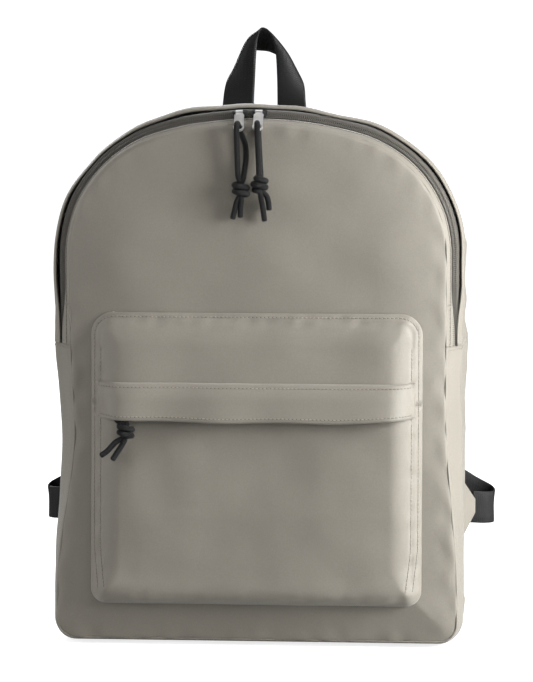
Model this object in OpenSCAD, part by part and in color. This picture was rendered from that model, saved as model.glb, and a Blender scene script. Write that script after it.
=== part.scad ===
// Daypack: an arched bag of sewn panels with a two-slider zip, a front pocket,
// a webbing grab handle and two padded shoulder straps.
// Millimetres. +Z up, +X right, -Y front. Origin: middle of the base, on the floor.

/* [Bag] */
// Height of the back, from the floor to the top seam
bag_h = 400; // [390:5:415]
// Greatest width
bag_w = 306; // [296:2:316]
// Depth at the floor, without the pocket
bag_d = 120; // [112:2:130]
// Lean of the front face, in degrees
lean = 2.8; // [2:0.2:3.6]
// Thickness of a sewn panel
wall = 2; // [1.8:0.1:2.2]
// Radius of the arch's top stretch
top_r = 280; // [270:5:300]
// Half the width of the arch's top stretch
top_half = 80; // [74:2:86]

/* [Front pocket] */
// Width of the pocket
pocket_w = 242; // [230:2:250]
// Height of the pocket
pocket_h = 216; // [208:2:218]
// How far the pocket stands out from the flat of the front
pocket_d = 22; // [20:1:24]
// Height of the strip that covers the pocket's zip
placket_h = 26; // [24:1:30]

/* [Zips] */
// Width of one row of zip teeth
coil_w = 3; // [2.6:0.1:3]
// Width of the slot that a zip shows in
slot_w = 12; // [12:0.5:13]
// Length of a slider
slider_l = 12; // [10:0.5:13]
// Width of a slider
slider_w = 9; // [8:0.5:9.5]
// Diameter of the pull cords
cord_d = 4.2; // [3.5:0.1:4.2]

/* [Handle and straps] */
// Width of the webbing
web_w = 25; // [22:1:25]
// Thickness of the webbing
web_t = 1.6; // [1.2:0.1:1.8]
// Width of a padded shoulder strap
strap_w = 56; // [50:1:60]
// Thickness of a padded shoulder strap
strap_t = 9; // [8:0.5:10]

/* [Hidden] */

half = bag_w / 2;
far = 2 * bag_w;              // longer than any part of the bag
gap = 0.4;                    // between pieces that move past each other
base_r = 22;                  // bottom corners
seam = wall + 0.6;            // panels at the front and back reach this far round the edges
top_sin = top_half / top_r;
top_a = acos(top_sin);        // where the top arc meets the shoulder arcs
shoulder_r = (half - top_half) / (1 - top_sin);
shoulder_x = half - shoulder_r;
top_z = bag_h - top_r;
shoulder_z = top_z + (top_r - shoulder_r) * sin(top_a);

// The bag's cross-sections, front to back: how far each lies inside the full outline.
bulge = 8;                    // the stuffed front stands out by this
bulge_in = 55;
bulge_lift = 60;
front_in = 14;                // at the front seam
front_lift = 14;
ridge_in = 1;                 // at the ridge behind the zip
ridge_y = 22;

// Heights on the leaning front face
join_z = 222;                 // the zip gusset is sewn to the side panels here
fold_z = 250;                 // the opened front folds down here
pocket_z = 32;
pocket_top = pocket_z + pocket_h;
pocket_zip_z = 181;

// The main zip, measured back from the front seam
zip_y = wall + 4.5 + slot_w / 2;
zip_in = front_in - (front_in - ridge_in) * zip_y / ridge_y;
zip_slope = atan((front_in - ridge_in) / ridge_y);
zip_r = top_r - zip_in;
tape_t = 1;
tape_w = 10;
tooth_gap = 0.8;               // half the space between the two rows of teeth
slider_x = 7.2;                // the two sliders stand this far either side of slider_mid
slider_mid = -7;               // to the left of the top, along the arch
main_bar = 4.2;                // height of a main slider's bar over the bag
main_bar_y = -3;               // and how far it is from the slider's middle, to the back
pocket_bar = 3.8;              // height of the pocket slider's bar

steel = "gainsboro";
dark = "#17181a";
cloth = "#a19b8c";
lining = "#8d877a";

// ---------- curves and frames ----------

function unit(v) = v / norm(v);
function arc(cx, cy, r, a0, a1, n) =
    [for (i = [0:n]) let (a = a0 + (a1 - a0) * i / n) [cx + r * cos(a), cy + r * sin(a)]];
function tail(list) = [for (i = [1:len(list) - 1]) list[i]];
function mirrored(list) = [for (p = list) [-p[0], p[1], p[2]]];
function curve_at(a, b, c, d, t) =
    0.5 * (2 * b + (c - a) * t + (2 * a - 5 * b + 4 * c - d) * t * t
           + (3 * b - a - 3 * c + d) * t * t * t);
// A smooth curve through p, with m steps between points
function spline(p, m) = concat(
    [for (i = [0:len(p) - 2]) for (j = [0:m - 1])
        curve_at(p[max(i - 1, 0)], p[i], p[i + 1], p[min(i + 2, len(p) - 1)], j / m)],
    [p[len(p) - 1]]);
function tangent(p, i) = unit(p[min(i + 1, len(p) - 1)] - p[max(i - 1, 0)]);
// Across a band that runs along t: the given side, squared up to t
function across(side, t) = unit(side - (side * t) * t);

function reversed(list) = [for (i = [len(list) - 1:-1:0]) list[i]];

// A solid through rings of points that all have the same count. Rings run counterclockwise
// about the direction of travel. caps splits each end face.
module sweep(rings, caps = []) {
    n = len(rings);
    k = len(rings[0]);
    ends = len(caps) > 0 ? caps : [[for (j = [0:k - 1]) j]];
    polyhedron(
        points = [for (r = rings) each r],
        faces = concat(
            ends,
            [for (c = ends) [for (j = reversed(c)) (n - 1) * k + j]],
            [for (i = [0:n - 2]) for (j = [0:k - 1]) let (q = (j + 1) % k)
                [i * k + j, (i + 1) * k + j, (i + 1) * k + q]],
            [for (i = [0:n - 2]) for (j = [0:k - 1]) let (q = (j + 1) % k)
                [i * k + j, (i + 1) * k + q, i * k + q]]),
        convexity = 8);
}

// A round cord along a route, eight-sided
module cord(route, d) {
    sweep([for (i = [0:len(route) - 1])
        let (t = tangent(route, i), s = across([1, 0, 0], t), n = cross(t, s))
        [for (a = [22.5:45:360]) route[i] + d / 2 * (cos(a) * s + sin(a) * n)]]);
}

// A flat band along a route; sides holds the direction across it at each point
module band(route, sides, w, t) {
    sweep([for (i = [0:len(route) - 1])
        let (along = tangent(route, i), s = across(sides[i], along), n = cross(along, s))
        [route[i] + s * w / 2 + n * t / 2, route[i] - s * w / 2 + n * t / 2,
         route[i] - s * w / 2 - n * t / 2, route[i] + s * w / 2 - n * t / 2]]);
}

// The front face's own frame: y back from the front seam, z up the face
module front_frame() {
    translate([0, -bag_d / 2, 0]) rotate([-lean, 0, 0]) children();
}

// On the main zip, x from its middle: x along the zip, y to the back, z out of the bag
module on_zip(x) {
    front_frame() translate([0, 0, top_z]) rotate([0, asin(x / zip_r), 0])
        translate([0, zip_y, zip_r]) rotate([zip_slope, 0, 0]) children();
}

// ---------- the bag's shape ----------

// The arched outline, moved in by inset, with its flat base at height low
function outline(inset, low) = concat(
    arc(half - inset - base_r, low + base_r, base_r, -90, 0, 5),
    arc(shoulder_x, shoulder_z, shoulder_r - inset, 0, top_a, 10),
    tail(arc(0, top_z, top_r - inset, top_a, 180 - top_a, 10)),
    tail(arc(-shoulder_x, shoulder_z, shoulder_r - inset, 180 - top_a, 180, 10)),
    arc(-(half - inset - base_r), low + base_r, base_r, 180, 270, 5));

function upright(points, y) = [for (p = points) [p[0], y, p[1]]];
function leaned(points, y) = [for (p = points)
    [p[0], y * cos(lean) + p[1] * sin(lean) - bag_d / 2, p[1] * cos(lean) - y * sin(lean)]];

module body(inset) {
    sweep([
        upright(outline(inset, inset), bag_d / 2 - inset),
        leaned(outline(ridge_in + inset, ridge_y * tan(lean) + inset), ridge_y),
        leaned(outline(front_in + inset, front_lift + inset), inset),
        leaned(outline(bulge_in + inset, bulge_lift + inset), inset - bulge)]);
}

// The bag's wall between two depths under its outer surface
module skin(outer, inner) {
    difference() {
        body(outer);
        body(inner);
    }
}

// Everything between two distances behind the front seam and two heights up the face
module front_slab(y0, y1, z0 = -20, z1 = bag_h + 40) {
    front_frame() translate([-far / 2, y0, z0]) cube([far, y1 - y0, z1 - z0]);
}

module world_slab(y0, y1) {
    translate([-far / 2, y0, -20]) cube([far, y1 - y0, bag_h + 60]);
}

// ---------- the shell ----------

module back_panel() {
    color(cloth) intersection() {
        skin(0, wall);
        world_slab(bag_d / 2 - seam, bag_d / 2 + 1);
    }
}

foam_t = 5;
module back_sheet(from_back, t, edge) {
    translate([0, bag_d / 2 - from_back, 0]) rotate([90, 0, 0])
        linear_extrude(t) polygon(outline(edge, edge));
}
module back_foam() { color("white") back_sheet(wall, foam_t, 12); }
module back_lining() { color(lining) back_sheet(wall + foam_t, 1, 12); }

module front_panel(z0, z1) {
    color(cloth) intersection() {
        skin(0, wall);
        front_slab(-30, seam, z0, z1);
    }
}
module front_panel_lower() { front_panel(-20, fold_z - gap); }
module front_panel_upper() { front_panel(fold_z + gap, bag_h + 20); }

// The bag's sides, between the front and back panels, from y0 back and between two heights
module gusset(y0, y1, z0, z1) {
    color(cloth) intersection() {
        skin(0, wall);
        front_slab(y0, y1, z0, z1);
        world_slab(-bag_d, bag_d / 2 - seam);
    }
}

side_in = half - base_r + 3;  // the side panels end and the bottom panel begins here
module side_panel(side) {
    intersection() {
        gusset(seam, bag_d * 2, -20, join_z);
        translate([side > 0 ? side_in : -side_in - far, -far / 2, -10]) cube(far);
    }
}
module side_panel_left() { side_panel(-1); }
module side_panel_right() { side_panel(1); }

module bottom_panel() {
    intersection() {
        gusset(seam, bag_d * 2, -20, join_z);
        translate([-side_in, -far / 2, -10]) cube([2 * side_in, far, 60]);
    }
}

strip_end = zip_y - slot_w / 2;   // the slot's front edge
rear_start = zip_y + slot_w / 2;  // the slot's rear edge

module zip_end_gussets() { gusset(seam, rear_start, join_z, fold_z - gap); }
module zip_gusset_rear() { gusset(rear_start, bag_d * 2, join_z, bag_h + 40); }
module zip_strip_front() { gusset(seam, strip_end, fold_z + gap, bag_h + 40); }

module zip_tape(y0, y1) {
    color(lining) intersection() {
        skin(wall, wall + tape_t);
        front_slab(y0, y1, fold_z + gap);
    }
}
module zip_tape_front() { zip_tape(zip_y - 2 - tape_w + 2, zip_y - 2); }
module zip_tape_rear() { zip_tape(zip_y + 2, zip_y + 2 + tape_w); }

module zip_coil(y0) {
    color(lining) intersection() {
        skin(0.2, wall);
        front_slab(y0, y0 + coil_w, fold_z + gap);
    }
}
module zip_coil_front() { zip_coil(zip_y - tooth_gap - coil_w); }
module zip_coil_rear() { zip_coil(zip_y + tooth_gap); }

// Tape sewn over the raw seam inside the back panel's edge
module seam_binding() {
    color(lining) intersection() {
        skin(wall, wall + 1.2);
        world_slab(bag_d / 2 - wall - 9, bag_d / 2 - wall - 1.4);
        front_slab(0, far, 26);
    }
}

// Patch that both straps and the handle are sewn to
yoke_w = 150;
yoke_h = 50;
yoke_t = 1.6;
module strap_yoke() {
    color(cloth) translate([-yoke_w / 2, bag_d / 2, bag_h - 10 - yoke_h]) cube([yoke_w, yoke_t, yoke_h]);
}

// ---------- front pocket ----------

pocket_r = 22;
pocket_base_r = 14;
module pocket_block(inset) {
    x = pocket_w / 2 - inset;
    r = pocket_r - inset;
    b = pocket_base_r - inset;
    front_frame() translate([0, 5, 0]) rotate([90, 0, 0]) linear_extrude(5 + pocket_d - inset)
        polygon(concat(
            arc(x - b, pocket_z + inset + b, b, -90, 0, 5),
            arc(x - r, pocket_top - inset - r, r, 0, 90, 6),
            arc(r - x, pocket_top - inset - r, r, 90, 180, 6),
            arc(b - x, pocket_z + inset + b, b, 180, 270, 5)));
}

module pocket_shell(z0, z1) {
    color(cloth) intersection() {
        difference() {
            pocket_block(0);
            pocket_block(wall);
            body(0);
        }
        front_slab(-50, 10, z0, z1);
    }
}
module pocket_upper_panel() { pocket_shell(pocket_zip_z + slot_w / 2, pocket_top + 5); }
module pocket_lower_panel() { pocket_shell(0, pocket_zip_z - slot_w / 2); }

// The strip over the zip: sewn along its top edge, free along its lower edge
placket_top = pocket_zip_z + 16;
placket_t = 1.2;
placket_out = 10;
module pocket_placket() {
    low = placket_top - placket_h;
    color(cloth) front_frame() translate([pocket_w / 2, -pocket_d, 0]) rotate([90, 0, -90])
        linear_extrude(pocket_w) polygon([
            [0, placket_top], [placket_out - 0.8, placket_top - 7], [placket_out, low],
            [placket_out - placket_t, low], [placket_out - placket_t - 0.8, placket_top - 8],
            [0, placket_top - 1.6]]);
}

pocket_zip_l = pocket_w - 2 * wall - 6;
mouth = 5;                    // the pocket's two rows of teeth stand this far apart
module pocket_zip_row(z, h, y, t) {
    front_frame() translate([-pocket_zip_l / 2, y, z]) cube([pocket_zip_l, t, h]);
}
module pocket_zip_tapes() {
    color(lining) {
        pocket_zip_row(pocket_zip_z + mouth / 2 + 1, tape_w, wall - pocket_d, tape_t);
        pocket_zip_row(pocket_zip_z - mouth / 2 - 1 - tape_w, tape_w, wall - pocket_d, tape_t);
    }
}
module pocket_zip_coils() {
    t = wall - 0.2;
    color(lining) {
        pocket_zip_row(pocket_zip_z + mouth / 2, coil_w, wall - pocket_d - t, t);
        pocket_zip_row(pocket_zip_z - mouth / 2 - coil_w, coil_w, wall - pocket_d - t, t);
    }
}

// ---------- sliders and pulls ----------

bar_r = 0.75;
plate_t = 1.2;
module slider_plate(back) {
    intersection() {
        translate([-slider_l / 2, -slider_w / 2, 0]) cube([slider_l, slider_w / 2 + back, plate_t]);
        cylinder(h = plate_t, r = slider_l * 0.56, $fn = 48);
    }
}

// Two plates joined by a post between the rows of teeth, with a bridge over the top.
// Frame: x along the zip, z out of the bag, z = 0 on the bag's surface. The lower plate
// reaches back to y = back. The post leans by slant, as the edges of the tapes do.
module slider(bar, bar_y, back, slant) {
    under = -wall - tape_t - 0.8 - plate_t;
    color("dimgray") {
        translate([0, 0, gap]) slider_plate(slider_w / 2);
        translate([0, 0, under]) slider_plate(back);
        multmatrix([[1, 0, 0, 0], [0, 1, tan(slant), 0], [0, 0, 1, 0]])
            translate([-2, -0.35, under + plate_t / 2]) cube([4, 0.7, gap - under]);
        for (x = [-1, 1])
            translate([x * 3.9, bar_y, gap + plate_t / 2]) cylinder(h = bar - gap, r = 0.9, $fn = 24);
        translate([-3.9, bar_y, bar]) rotate([0, 90, 0]) cylinder(h = 7.8, r = bar_r, $fn = 24);
    }
}

// A pull tab that hangs along -y from the bar at its origin; the cord's hole is at its end
hole_r = 2.9;
ring_out = 4;
tab_w = 7.2;
module pull(length) {
    t = 1.4;
    color(steel) difference() {
        union() {
            translate([-2.6, 0, 0]) rotate([0, 90, 0]) cylinder(h = 5.2, r = 1.8, $fn = 32);
            translate([-2.6, -length, -t / 2]) cube([5.2, length, t]);
            translate([-tab_w / 2, -length + 2, -t / 2]) cube([tab_w, length - 5, t]);
            translate([0, -length, -t / 2]) cylinder(h = t, r = ring_out, $fn = 40);
        }
        translate([-5, 0, 0]) rotate([0, 90, 0]) cylinder(h = 10, r = bar_r + 0.3, $fn = 32);
        translate([0, -length, -5]) cylinder(h = 10, r = hole_r, $fn = 32);
    }
}

// The pocket's short pull: its ring stands on edge, so that it lies flat under the placket.
module ring_pull(length) {
    color(steel) difference() {
        union() {
            translate([-2.6, 0, 0]) rotate([0, 90, 0]) cylinder(h = 5.2, r = 1.6, $fn = 32);
            translate([-0.9, -length + 2.8, -0.9]) cube([1.8, length - 2.8, 1.8]);
            translate([-0.8, -length, 0]) rotate([0, 90, 0]) cylinder(h = 1.6, r = 3.4, $fn = 40);
        }
        translate([-5, 0, 0]) rotate([0, 90, 0]) cylinder(h = 10, r = bar_r + 0.3, $fn = 32);
        translate([-5, -length, 0]) rotate([0, 90, 0]) cylinder(h = 10, r = 2.5, $fn = 32);
    }
}

main_tab_l = 16.5;
main_tab_a = 42;              // below level, towards the front
pocket_tab_l = 8;
pocket_x = -98;               // the pocket's slider stands at its closed end

// At a main slider's bar, in the front frame's directions, but turned with the arch
module at_main_bar(side) {
    on_zip(slider_mid + side * slider_x)
        translate([0, main_bar_y, main_bar]) rotate([-zip_slope, 0, 0]) children();
}
module at_main_ring(side) {
    at_main_bar(side)
        translate([0, -main_tab_l * cos(main_tab_a), -main_tab_l * sin(main_tab_a)]) children();
}
module main_pull(side) { at_main_bar(side) rotate([main_tab_a, 0, 0]) pull(main_tab_l); }
// A main slider's lower plate stops at its post, so that the rear teeth can leave it.
module main_slider_left() { on_zip(slider_mid - slider_x) slider(main_bar, main_bar_y, 0, zip_slope); }
module main_slider_right() { on_zip(slider_mid + slider_x) slider(main_bar, main_bar_y, 0, zip_slope); }
module main_pull_left() { main_pull(-1); }
module main_pull_right() { main_pull(1); }

module at_pocket_slider() {
    front_frame() translate([pocket_x, -pocket_d, pocket_zip_z]) rotate([90, 0, 0]) children();
}
module pocket_slider() { at_pocket_slider() slider(pocket_bar, 0, slider_w / 2, 0); }
module pocket_pull() { at_pocket_slider() translate([0, 0, pocket_bar]) ring_pull(pocket_tab_l); }

// Each pull has one cord through the ring, modelled as its two halves a and b, which meet
// in the ring, run through the knot and end free. Routes are from the middle of the ring.
main_left_a = [[0, 0, 0], [-0.3, -1, 2], [-0.7, -3.2, 3], [-1, -5.7, 1.7], [-1.2, -6.8, -2],
    [-1.3, -7.2, -7], [-1.4, -8.2, -16], [-1.4, -10, -28], [-1.4, -11.8, -39], [-1.8, -12, -48],
    [-4.4, -11, -58], [-7, -10.2, -67]];
main_left_b = [[0, 0, 0], [0.3, 0.6, -1.2], [0.9, 0.2, -3.6], [2.4, -1.1, -7], [4.6, -3.4, -14],
    [4.6, -6.2, -24], [3, -9.4, -34], [2.2, -12, -42], [1, -12.2, -50], [-0.6, -10.8, -59], [-1.2, -10, -66]];
main_right_a = [[0, 0, 0], [-0.2, -1, 2], [-0.2, -3.2, 3], [0, -5.7, 1.7], [0.2, -6.8, -2],
    [0.5, -7.6, -8], [1.1, -9, -18], [1.8, -11, -29], [2, -12.8, -39], [2.4, -12.6, -46],
    [4.6, -11.4, -57], [6.2, -10.4, -69]];
main_right_b = [[0, 0, 0], [0.3, 0.6, -1.2], [0.6, 0.2, -3.6], [0.9, -1.1, -7], [1.4, -3.4, -14],
    [2.2, -6, -24], [3, -8.8, -33], [4.4, -10.8, -40], [6.4, -11.2, -47], [8.8, -10.2, -54],
    [9.4, -9.8, -61]];
pocket_a = [[0, 0, 0], [-2.4, -0.2, -0.5], [-3.3, -0.4, -3.5], [-1.4, -1.4, -7.5], [1.6, -2.6, -11],
    [0.4, -2.8, -15.5], [-5, -2.4, -21], [-10, -1.8, -26.5], [-15, -1.2, -30]];
pocket_b = [[0, 0, 0], [2.4, -0.2, -0.5], [3.4, -0.4, -3.5], [4.8, -1.4, -7.5], [5.6, -2.6, -11],
    [4.2, -3.2, -16], [1, -3, -22], [-3, -2.4, -28], [-6.2, -2, -33]];

module main_cord(side, route) {
    color(dark) at_main_ring(side) cord(spline(route, 2), cord_d);
}
module main_cord_left_a() { main_cord(-1, main_left_a); }
module main_cord_left_b() { main_cord(-1, main_left_b); }
module main_cord_right_a() { main_cord(1, main_right_a); }
module main_cord_right_b() { main_cord(1, main_right_b); }

module at_pocket_ring() {
    front_frame() translate([pocket_x, -pocket_d - pocket_bar, pocket_zip_z - pocket_tab_l]) children();
}
module pocket_cord_a() { color(dark) at_pocket_ring() cord(spline(pocket_a, 2), cord_d); }
module pocket_cord_b() { color(dark) at_pocket_ring() cord(spline(pocket_b, 2), cord_d); }

// The knot that ties a pull's two halves together
knot_r = 5.4;
module knot(lean_x) {
    color(dark) for (s = [-1, 1])
        translate([s * lean_x, 0, s * 1.6]) sphere(r = knot_r, $fn = 32);
}
module main_knot_left() { at_main_ring(-1) translate([0.2, -12.4, -45.5]) knot(1); }
module main_knot_right() { at_main_ring(1) translate([3, -12.2, -42]) knot(1.2); }
module pocket_knot() { at_pocket_ring() translate([3.6, -2.6, -11.4]) knot(2); }

// ---------- grab handle ----------

// The webbing's front edge, middle and rear edge, from the left foot over to the right
handle_front = [[-7.8, 0, 0], [-6.8, -1, 20], [-5.8, -2, 38], [-4.4, -3.4, 50], [-1, -4, 56.5],
    [5, -3.6, 52], [8.6, -2, 41], [9.8, -1, 22], [10.2, 0, 0]];
handle_mid = [[-19.7, 0, 0], [-18.6, 1, 19], [-16.8, 0.5, 36], [-11.5, 1.5, 48.4], [-2, 4, 50.5],
    [7.5, 3, 47.5], [17, 1.5, 37], [20.6, 1, 20.5], [21.2, 0, 0]];
handle_rear = [[-31.6, 0, 0], [-28.6, 4.5, 15], [-20.4, 10, 29], [-11.5, 13, 38.6], [-2.5, 13, 39.5],
    [6, 13, 37.6], [19, 12, 29.4], [28.6, 5.5, 15], [32, 0, 0]];
handle_x = -3;                 // it stands a little to the left of the middle
handle_z = bag_h - 3;
handle_y = bag_d / 2 + yoke_t + web_t / 2;

// The webbing's two ends, sewn down on the yoke
module handle_ends() {
    l = 26;
    color(dark) for (x = [handle_front[0][0] - web_w, handle_front[8][0]])
        translate([handle_x + x, bag_d / 2 + yoke_t, handle_z - 1.2 - l]) cube([web_w, web_t, l]);
}

module grab_handle() {
    f = spline(handle_front, 3);
    m = spline(handle_mid, 3);
    r = spline(handle_rear, 3);
    t = web_t / 2;
    color(dark) translate([handle_x, handle_y, handle_z]) sweep([for (i = [0:len(m) - 1])
        let (along = tangent(m, i),
             nf = unit(cross(along, m[i] - f[i])),
             nr = unit(cross(along, r[i] - m[i])),
             nm = unit(nf + nr))
        [f[i] - nf * t, m[i] - nm * t, r[i] - nr * t, r[i] + nr * t, m[i] + nm * t, f[i] + nf * t]],
        [[0, 1, 5], [1, 4, 5], [1, 2, 4], [2, 3, 4]]);
}

// ---------- shoulder straps ----------

// All of these are for the right-hand strap; the left one mirrors them.
strap_route = [[37, 70, 387], [40, 94, 381], [48, 123, 348], [60, 138, 294], [76, 134, 236],
    [92, 116, 190], [104, 99, 162]];
strap_width = [24, strap_w - 6, strap_w, strap_w, strap_w - 4, strap_w - 14, 30];
lock_along = unit([10, -22, -24]);
lock_side = across([1, 0, 0], lock_along);
lock_out = cross(lock_side, lock_along);
lock_l = 28;
lock_w = web_w + 7;
lock_t = 4.4;
lock_at = strap_route[6] + lock_along * 6;
web_route = [lock_at + lock_along * 16 - lock_out * 4.6, lock_at + lock_along * 27 - lock_out * 4.6,
    [130, 83, 117], [150, 93, 101], [164, 95, 93], [170.4, 88, 89], [166, 80, 88], [158, 74.5, 88]];
web_sides = [lock_side, lock_side, [0.8, 0.1, 0.6], [0.35, 0.1, 0.94], [0.1, 0, 1], [0, 0, 1],
    [0, 0, 1], [0, 0, 1]];
tab_tip = [156, 74, 88];

sheet_t = 1.2;
bind_t = 0.8;
bind_w = 9;
strap_line = spline(strap_route, 4);
strap_half = [for (w = spline([for (x = strap_width) [x, 0, 0]], 4)) w[0] / 2];

// One ring per point of the strap's line, from a list of [fixed, per half width, out] points
function strap_rings(profile) = [for (i = [0:len(strap_line) - 1])
    let (a = tangent(strap_line, i), s = across([1, 0, 0], a), n = cross(s, a))
    [for (q = profile) strap_line[i] + s * (q[0] + q[1] * strap_half[i]) + n * q[2]]];
function sheet_profile(edge, n0, n1) =
    [[-edge, 1, n1], [edge, -1, n1], [edge, -1, n0], [-edge, 1, n0]];

strap_out = strap_t / 2;
module strap_face() { sweep(strap_rings(sheet_profile(bind_t, strap_out - sheet_t, strap_out))); }
module strap_pad() { sweep(strap_rings(sheet_profile(bind_t, -strap_out, sheet_t - strap_out))); }
module strap_foam() {
    sweep(strap_rings(sheet_profile(bind_t + 0.3, sheet_t - strap_out, strap_out - sheet_t)));
}

// Tape folded round both long edges
module strap_binding() {
    b = strap_out + bind_t;
    sweep(strap_rings([
        [-bind_w, 1, -b], [0, 1, -b], [0, 1, b], [-bind_w, 1, b], [-bind_w, 1, strap_out],
        [-bind_t, 1, strap_out], [-bind_t, 1, -strap_out], [-bind_w, 1, -strap_out]]),
        [[0, 1, 6, 7], [1, 2, 5, 6], [2, 3, 4, 5]]);
    sweep(strap_rings([
        [0, -1, -b], [bind_w, -1, -b], [bind_w, -1, -strap_out], [bind_t, -1, -strap_out],
        [bind_t, -1, strap_out], [bind_w, -1, strap_out], [bind_w, -1, b], [0, -1, b]]),
        [[0, 1, 2, 3], [0, 3, 4, 7], [4, 5, 6, 7]]);
}

module on_lock() {
    multmatrix([[lock_side[0], lock_along[0], lock_out[0], lock_at[0]],
                [lock_side[1], lock_along[1], lock_out[1], lock_at[1]],
                [lock_side[2], lock_along[2], lock_out[2], lock_at[2]]]) children();
}

lock_bar_r = 1.7;
// A short webbing loop from the strap's end round the ladder lock's top bar
module ladder_loop() {
    r = lock_bar_r + 0.3;
    on_lock() translate([-web_w / 2, 0, 0]) rotate([90, 0, 90]) linear_extrude(web_w) difference() {
        union() {
            circle(r = r + web_t, $fn = 40);
            translate([-6, -web_t]) square([6, 2 * web_t]);
        }
        circle(r = r, $fn = 40);
    }
}

// Two rails, a round top bar and two flat bars that the webbing is threaded through
module ladder_lock() {
    on_lock() {
        for (s = [-1, 1])
            translate([s * (lock_w / 2 - 1.4) - 1.4, -2.4, -lock_t / 2]) cube([2.8, lock_l, lock_t]);
        translate([-lock_w / 2 + 1, 0, 0]) rotate([0, 90, 0])
            cylinder(h = lock_w - 2, r = lock_bar_r, $fn = 32);
        for (y = [9.6, lock_l - 6])
            translate([-lock_w / 2 + 1, y, -1.4]) cube([lock_w - 2, 3.4, 2.8]);
    }
}

// The webbing's free end: up past the upper flat bar, out over the lower one, then hanging
function lock_point(x, y, z) = lock_at + lock_side * x + lock_along * y + lock_out * z;
module webbing_tail() {
    route = spline([lock_point(0, 16.8, -1.4), lock_point(0, 15.6, 2), lock_point(0, 19, 4.2),
        lock_point(0, 26, 5), [117, 89, 126], [119, 92, 106], [122, 92, 84], [124, 90, 66]], 3);
    band(route, [for (p = route) lock_side], web_w - 1, web_t);
}

module strap_webbing() {
    route = spline(web_route, 4);
    band(route, spline(web_sides, 4), web_w, web_t);
}

module for_side(side) {
    if (side > 0) children();
    else mirror([1, 0, 0]) children();
}

module strap_face_right() { color(cloth) for_side(1) strap_face(); }
module strap_face_left() { color(cloth) for_side(-1) strap_face(); }
module strap_foam_right() { color("white") for_side(1) strap_foam(); }
module strap_foam_left() { color("white") for_side(-1) strap_foam(); }
module strap_pad_right() { color(lining) for_side(1) strap_pad(); }
module strap_pad_left() { color(lining) for_side(-1) strap_pad(); }
module strap_binding_right() { color(dark) for_side(1) strap_binding(); }
module strap_binding_left() { color(dark) for_side(-1) strap_binding(); }
module strap_webbing_right() { color(dark) for_side(1) strap_webbing(); }
module strap_webbing_left() { color(dark) for_side(-1) strap_webbing(); }
module ladder_loop_right() { color(dark) for_side(1) ladder_loop(); }
module ladder_loop_left() { color(dark) for_side(-1) ladder_loop(); }
module ladder_lock_right() { color(dark) for_side(1) ladder_lock(); }
module ladder_lock_left() { color(dark) for_side(-1) ladder_lock(); }
module webbing_tail_right() { color(dark) for_side(1) webbing_tail(); }
module webbing_tail_left() { color(dark) for_side(-1) webbing_tail(); }

// Three-cornered tabs in the back seam that hold the straps' lower ends
tab_t = 2.4;
module strap_tab() {
    foot = [half - 5, bag_d / 2 + 0.6, tab_tip[2]];
    reach = norm([tab_tip[0] - foot[0], tab_tip[1] - foot[1]]);
    turn = atan2(tab_tip[1] - foot[1], tab_tip[0] - foot[0]);
    translate(foot) rotate([90, 0, turn]) translate([0, 0, -tab_t / 2])
        linear_extrude(tab_t) polygon([[0, -23], [reach, -4], [reach, 4], [0, 23]]);
}
module strap_tab_right() { color(cloth) for_side(1) strap_tab(); }
module strap_tab_left() { color(cloth) for_side(-1) strap_tab(); }

// ---------- output ----------

back_panel();
back_foam();
back_lining();
front_panel_lower();
side_panel_left();
side_panel_right();
bottom_panel();
zip_end_gussets();
zip_gusset_rear();
zip_tape_rear();
zip_coil_rear();
strap_yoke();
seam_binding();
pocket_upper_panel();
pocket_placket();
pocket_lower_panel();
pocket_zip_tapes();
pocket_zip_coils();
strap_tab_left();
strap_tab_right();
front_panel_upper();
zip_strip_front();
zip_tape_front();
zip_coil_front();
main_slider_left();
main_slider_right();
main_pull_left();
main_pull_right();
main_cord_left_a();
main_cord_left_b();
main_knot_left();
main_cord_right_a();
main_cord_right_b();
main_knot_right();
pocket_slider();
pocket_pull();
pocket_cord_a();
pocket_cord_b();
pocket_knot();
handle_ends();
grab_handle();
strap_face_left();
strap_foam_left();
strap_pad_left();
strap_binding_left();
strap_webbing_left();
ladder_loop_left();
ladder_lock_left();
webbing_tail_left();
strap_face_right();
strap_foam_right();
strap_pad_right();
strap_binding_right();
strap_webbing_right();
ladder_loop_right();
ladder_lock_right();
webbing_tail_right();
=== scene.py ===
import math

import bpy
import numpy as np
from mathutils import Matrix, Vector


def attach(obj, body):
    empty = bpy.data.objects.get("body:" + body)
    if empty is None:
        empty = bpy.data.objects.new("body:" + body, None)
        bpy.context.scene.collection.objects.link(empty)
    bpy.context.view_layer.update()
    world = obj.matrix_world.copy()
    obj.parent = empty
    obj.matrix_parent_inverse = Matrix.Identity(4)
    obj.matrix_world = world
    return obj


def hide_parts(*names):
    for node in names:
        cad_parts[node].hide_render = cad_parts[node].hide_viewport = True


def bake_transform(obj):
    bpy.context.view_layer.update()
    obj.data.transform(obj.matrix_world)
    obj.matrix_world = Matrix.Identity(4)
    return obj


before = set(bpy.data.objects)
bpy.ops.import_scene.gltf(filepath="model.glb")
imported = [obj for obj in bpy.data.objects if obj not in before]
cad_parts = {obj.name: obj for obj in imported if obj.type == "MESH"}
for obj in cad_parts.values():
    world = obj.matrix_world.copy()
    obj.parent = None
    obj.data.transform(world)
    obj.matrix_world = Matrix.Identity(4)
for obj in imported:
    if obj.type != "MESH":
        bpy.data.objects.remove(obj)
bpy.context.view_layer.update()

MM = 0.001
LEAN_ANGLE = math.radians(2.8)         # how far the front leans back
LEAN = math.tan(LEAN_ANGLE)


# ---------------- camera and light

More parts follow.
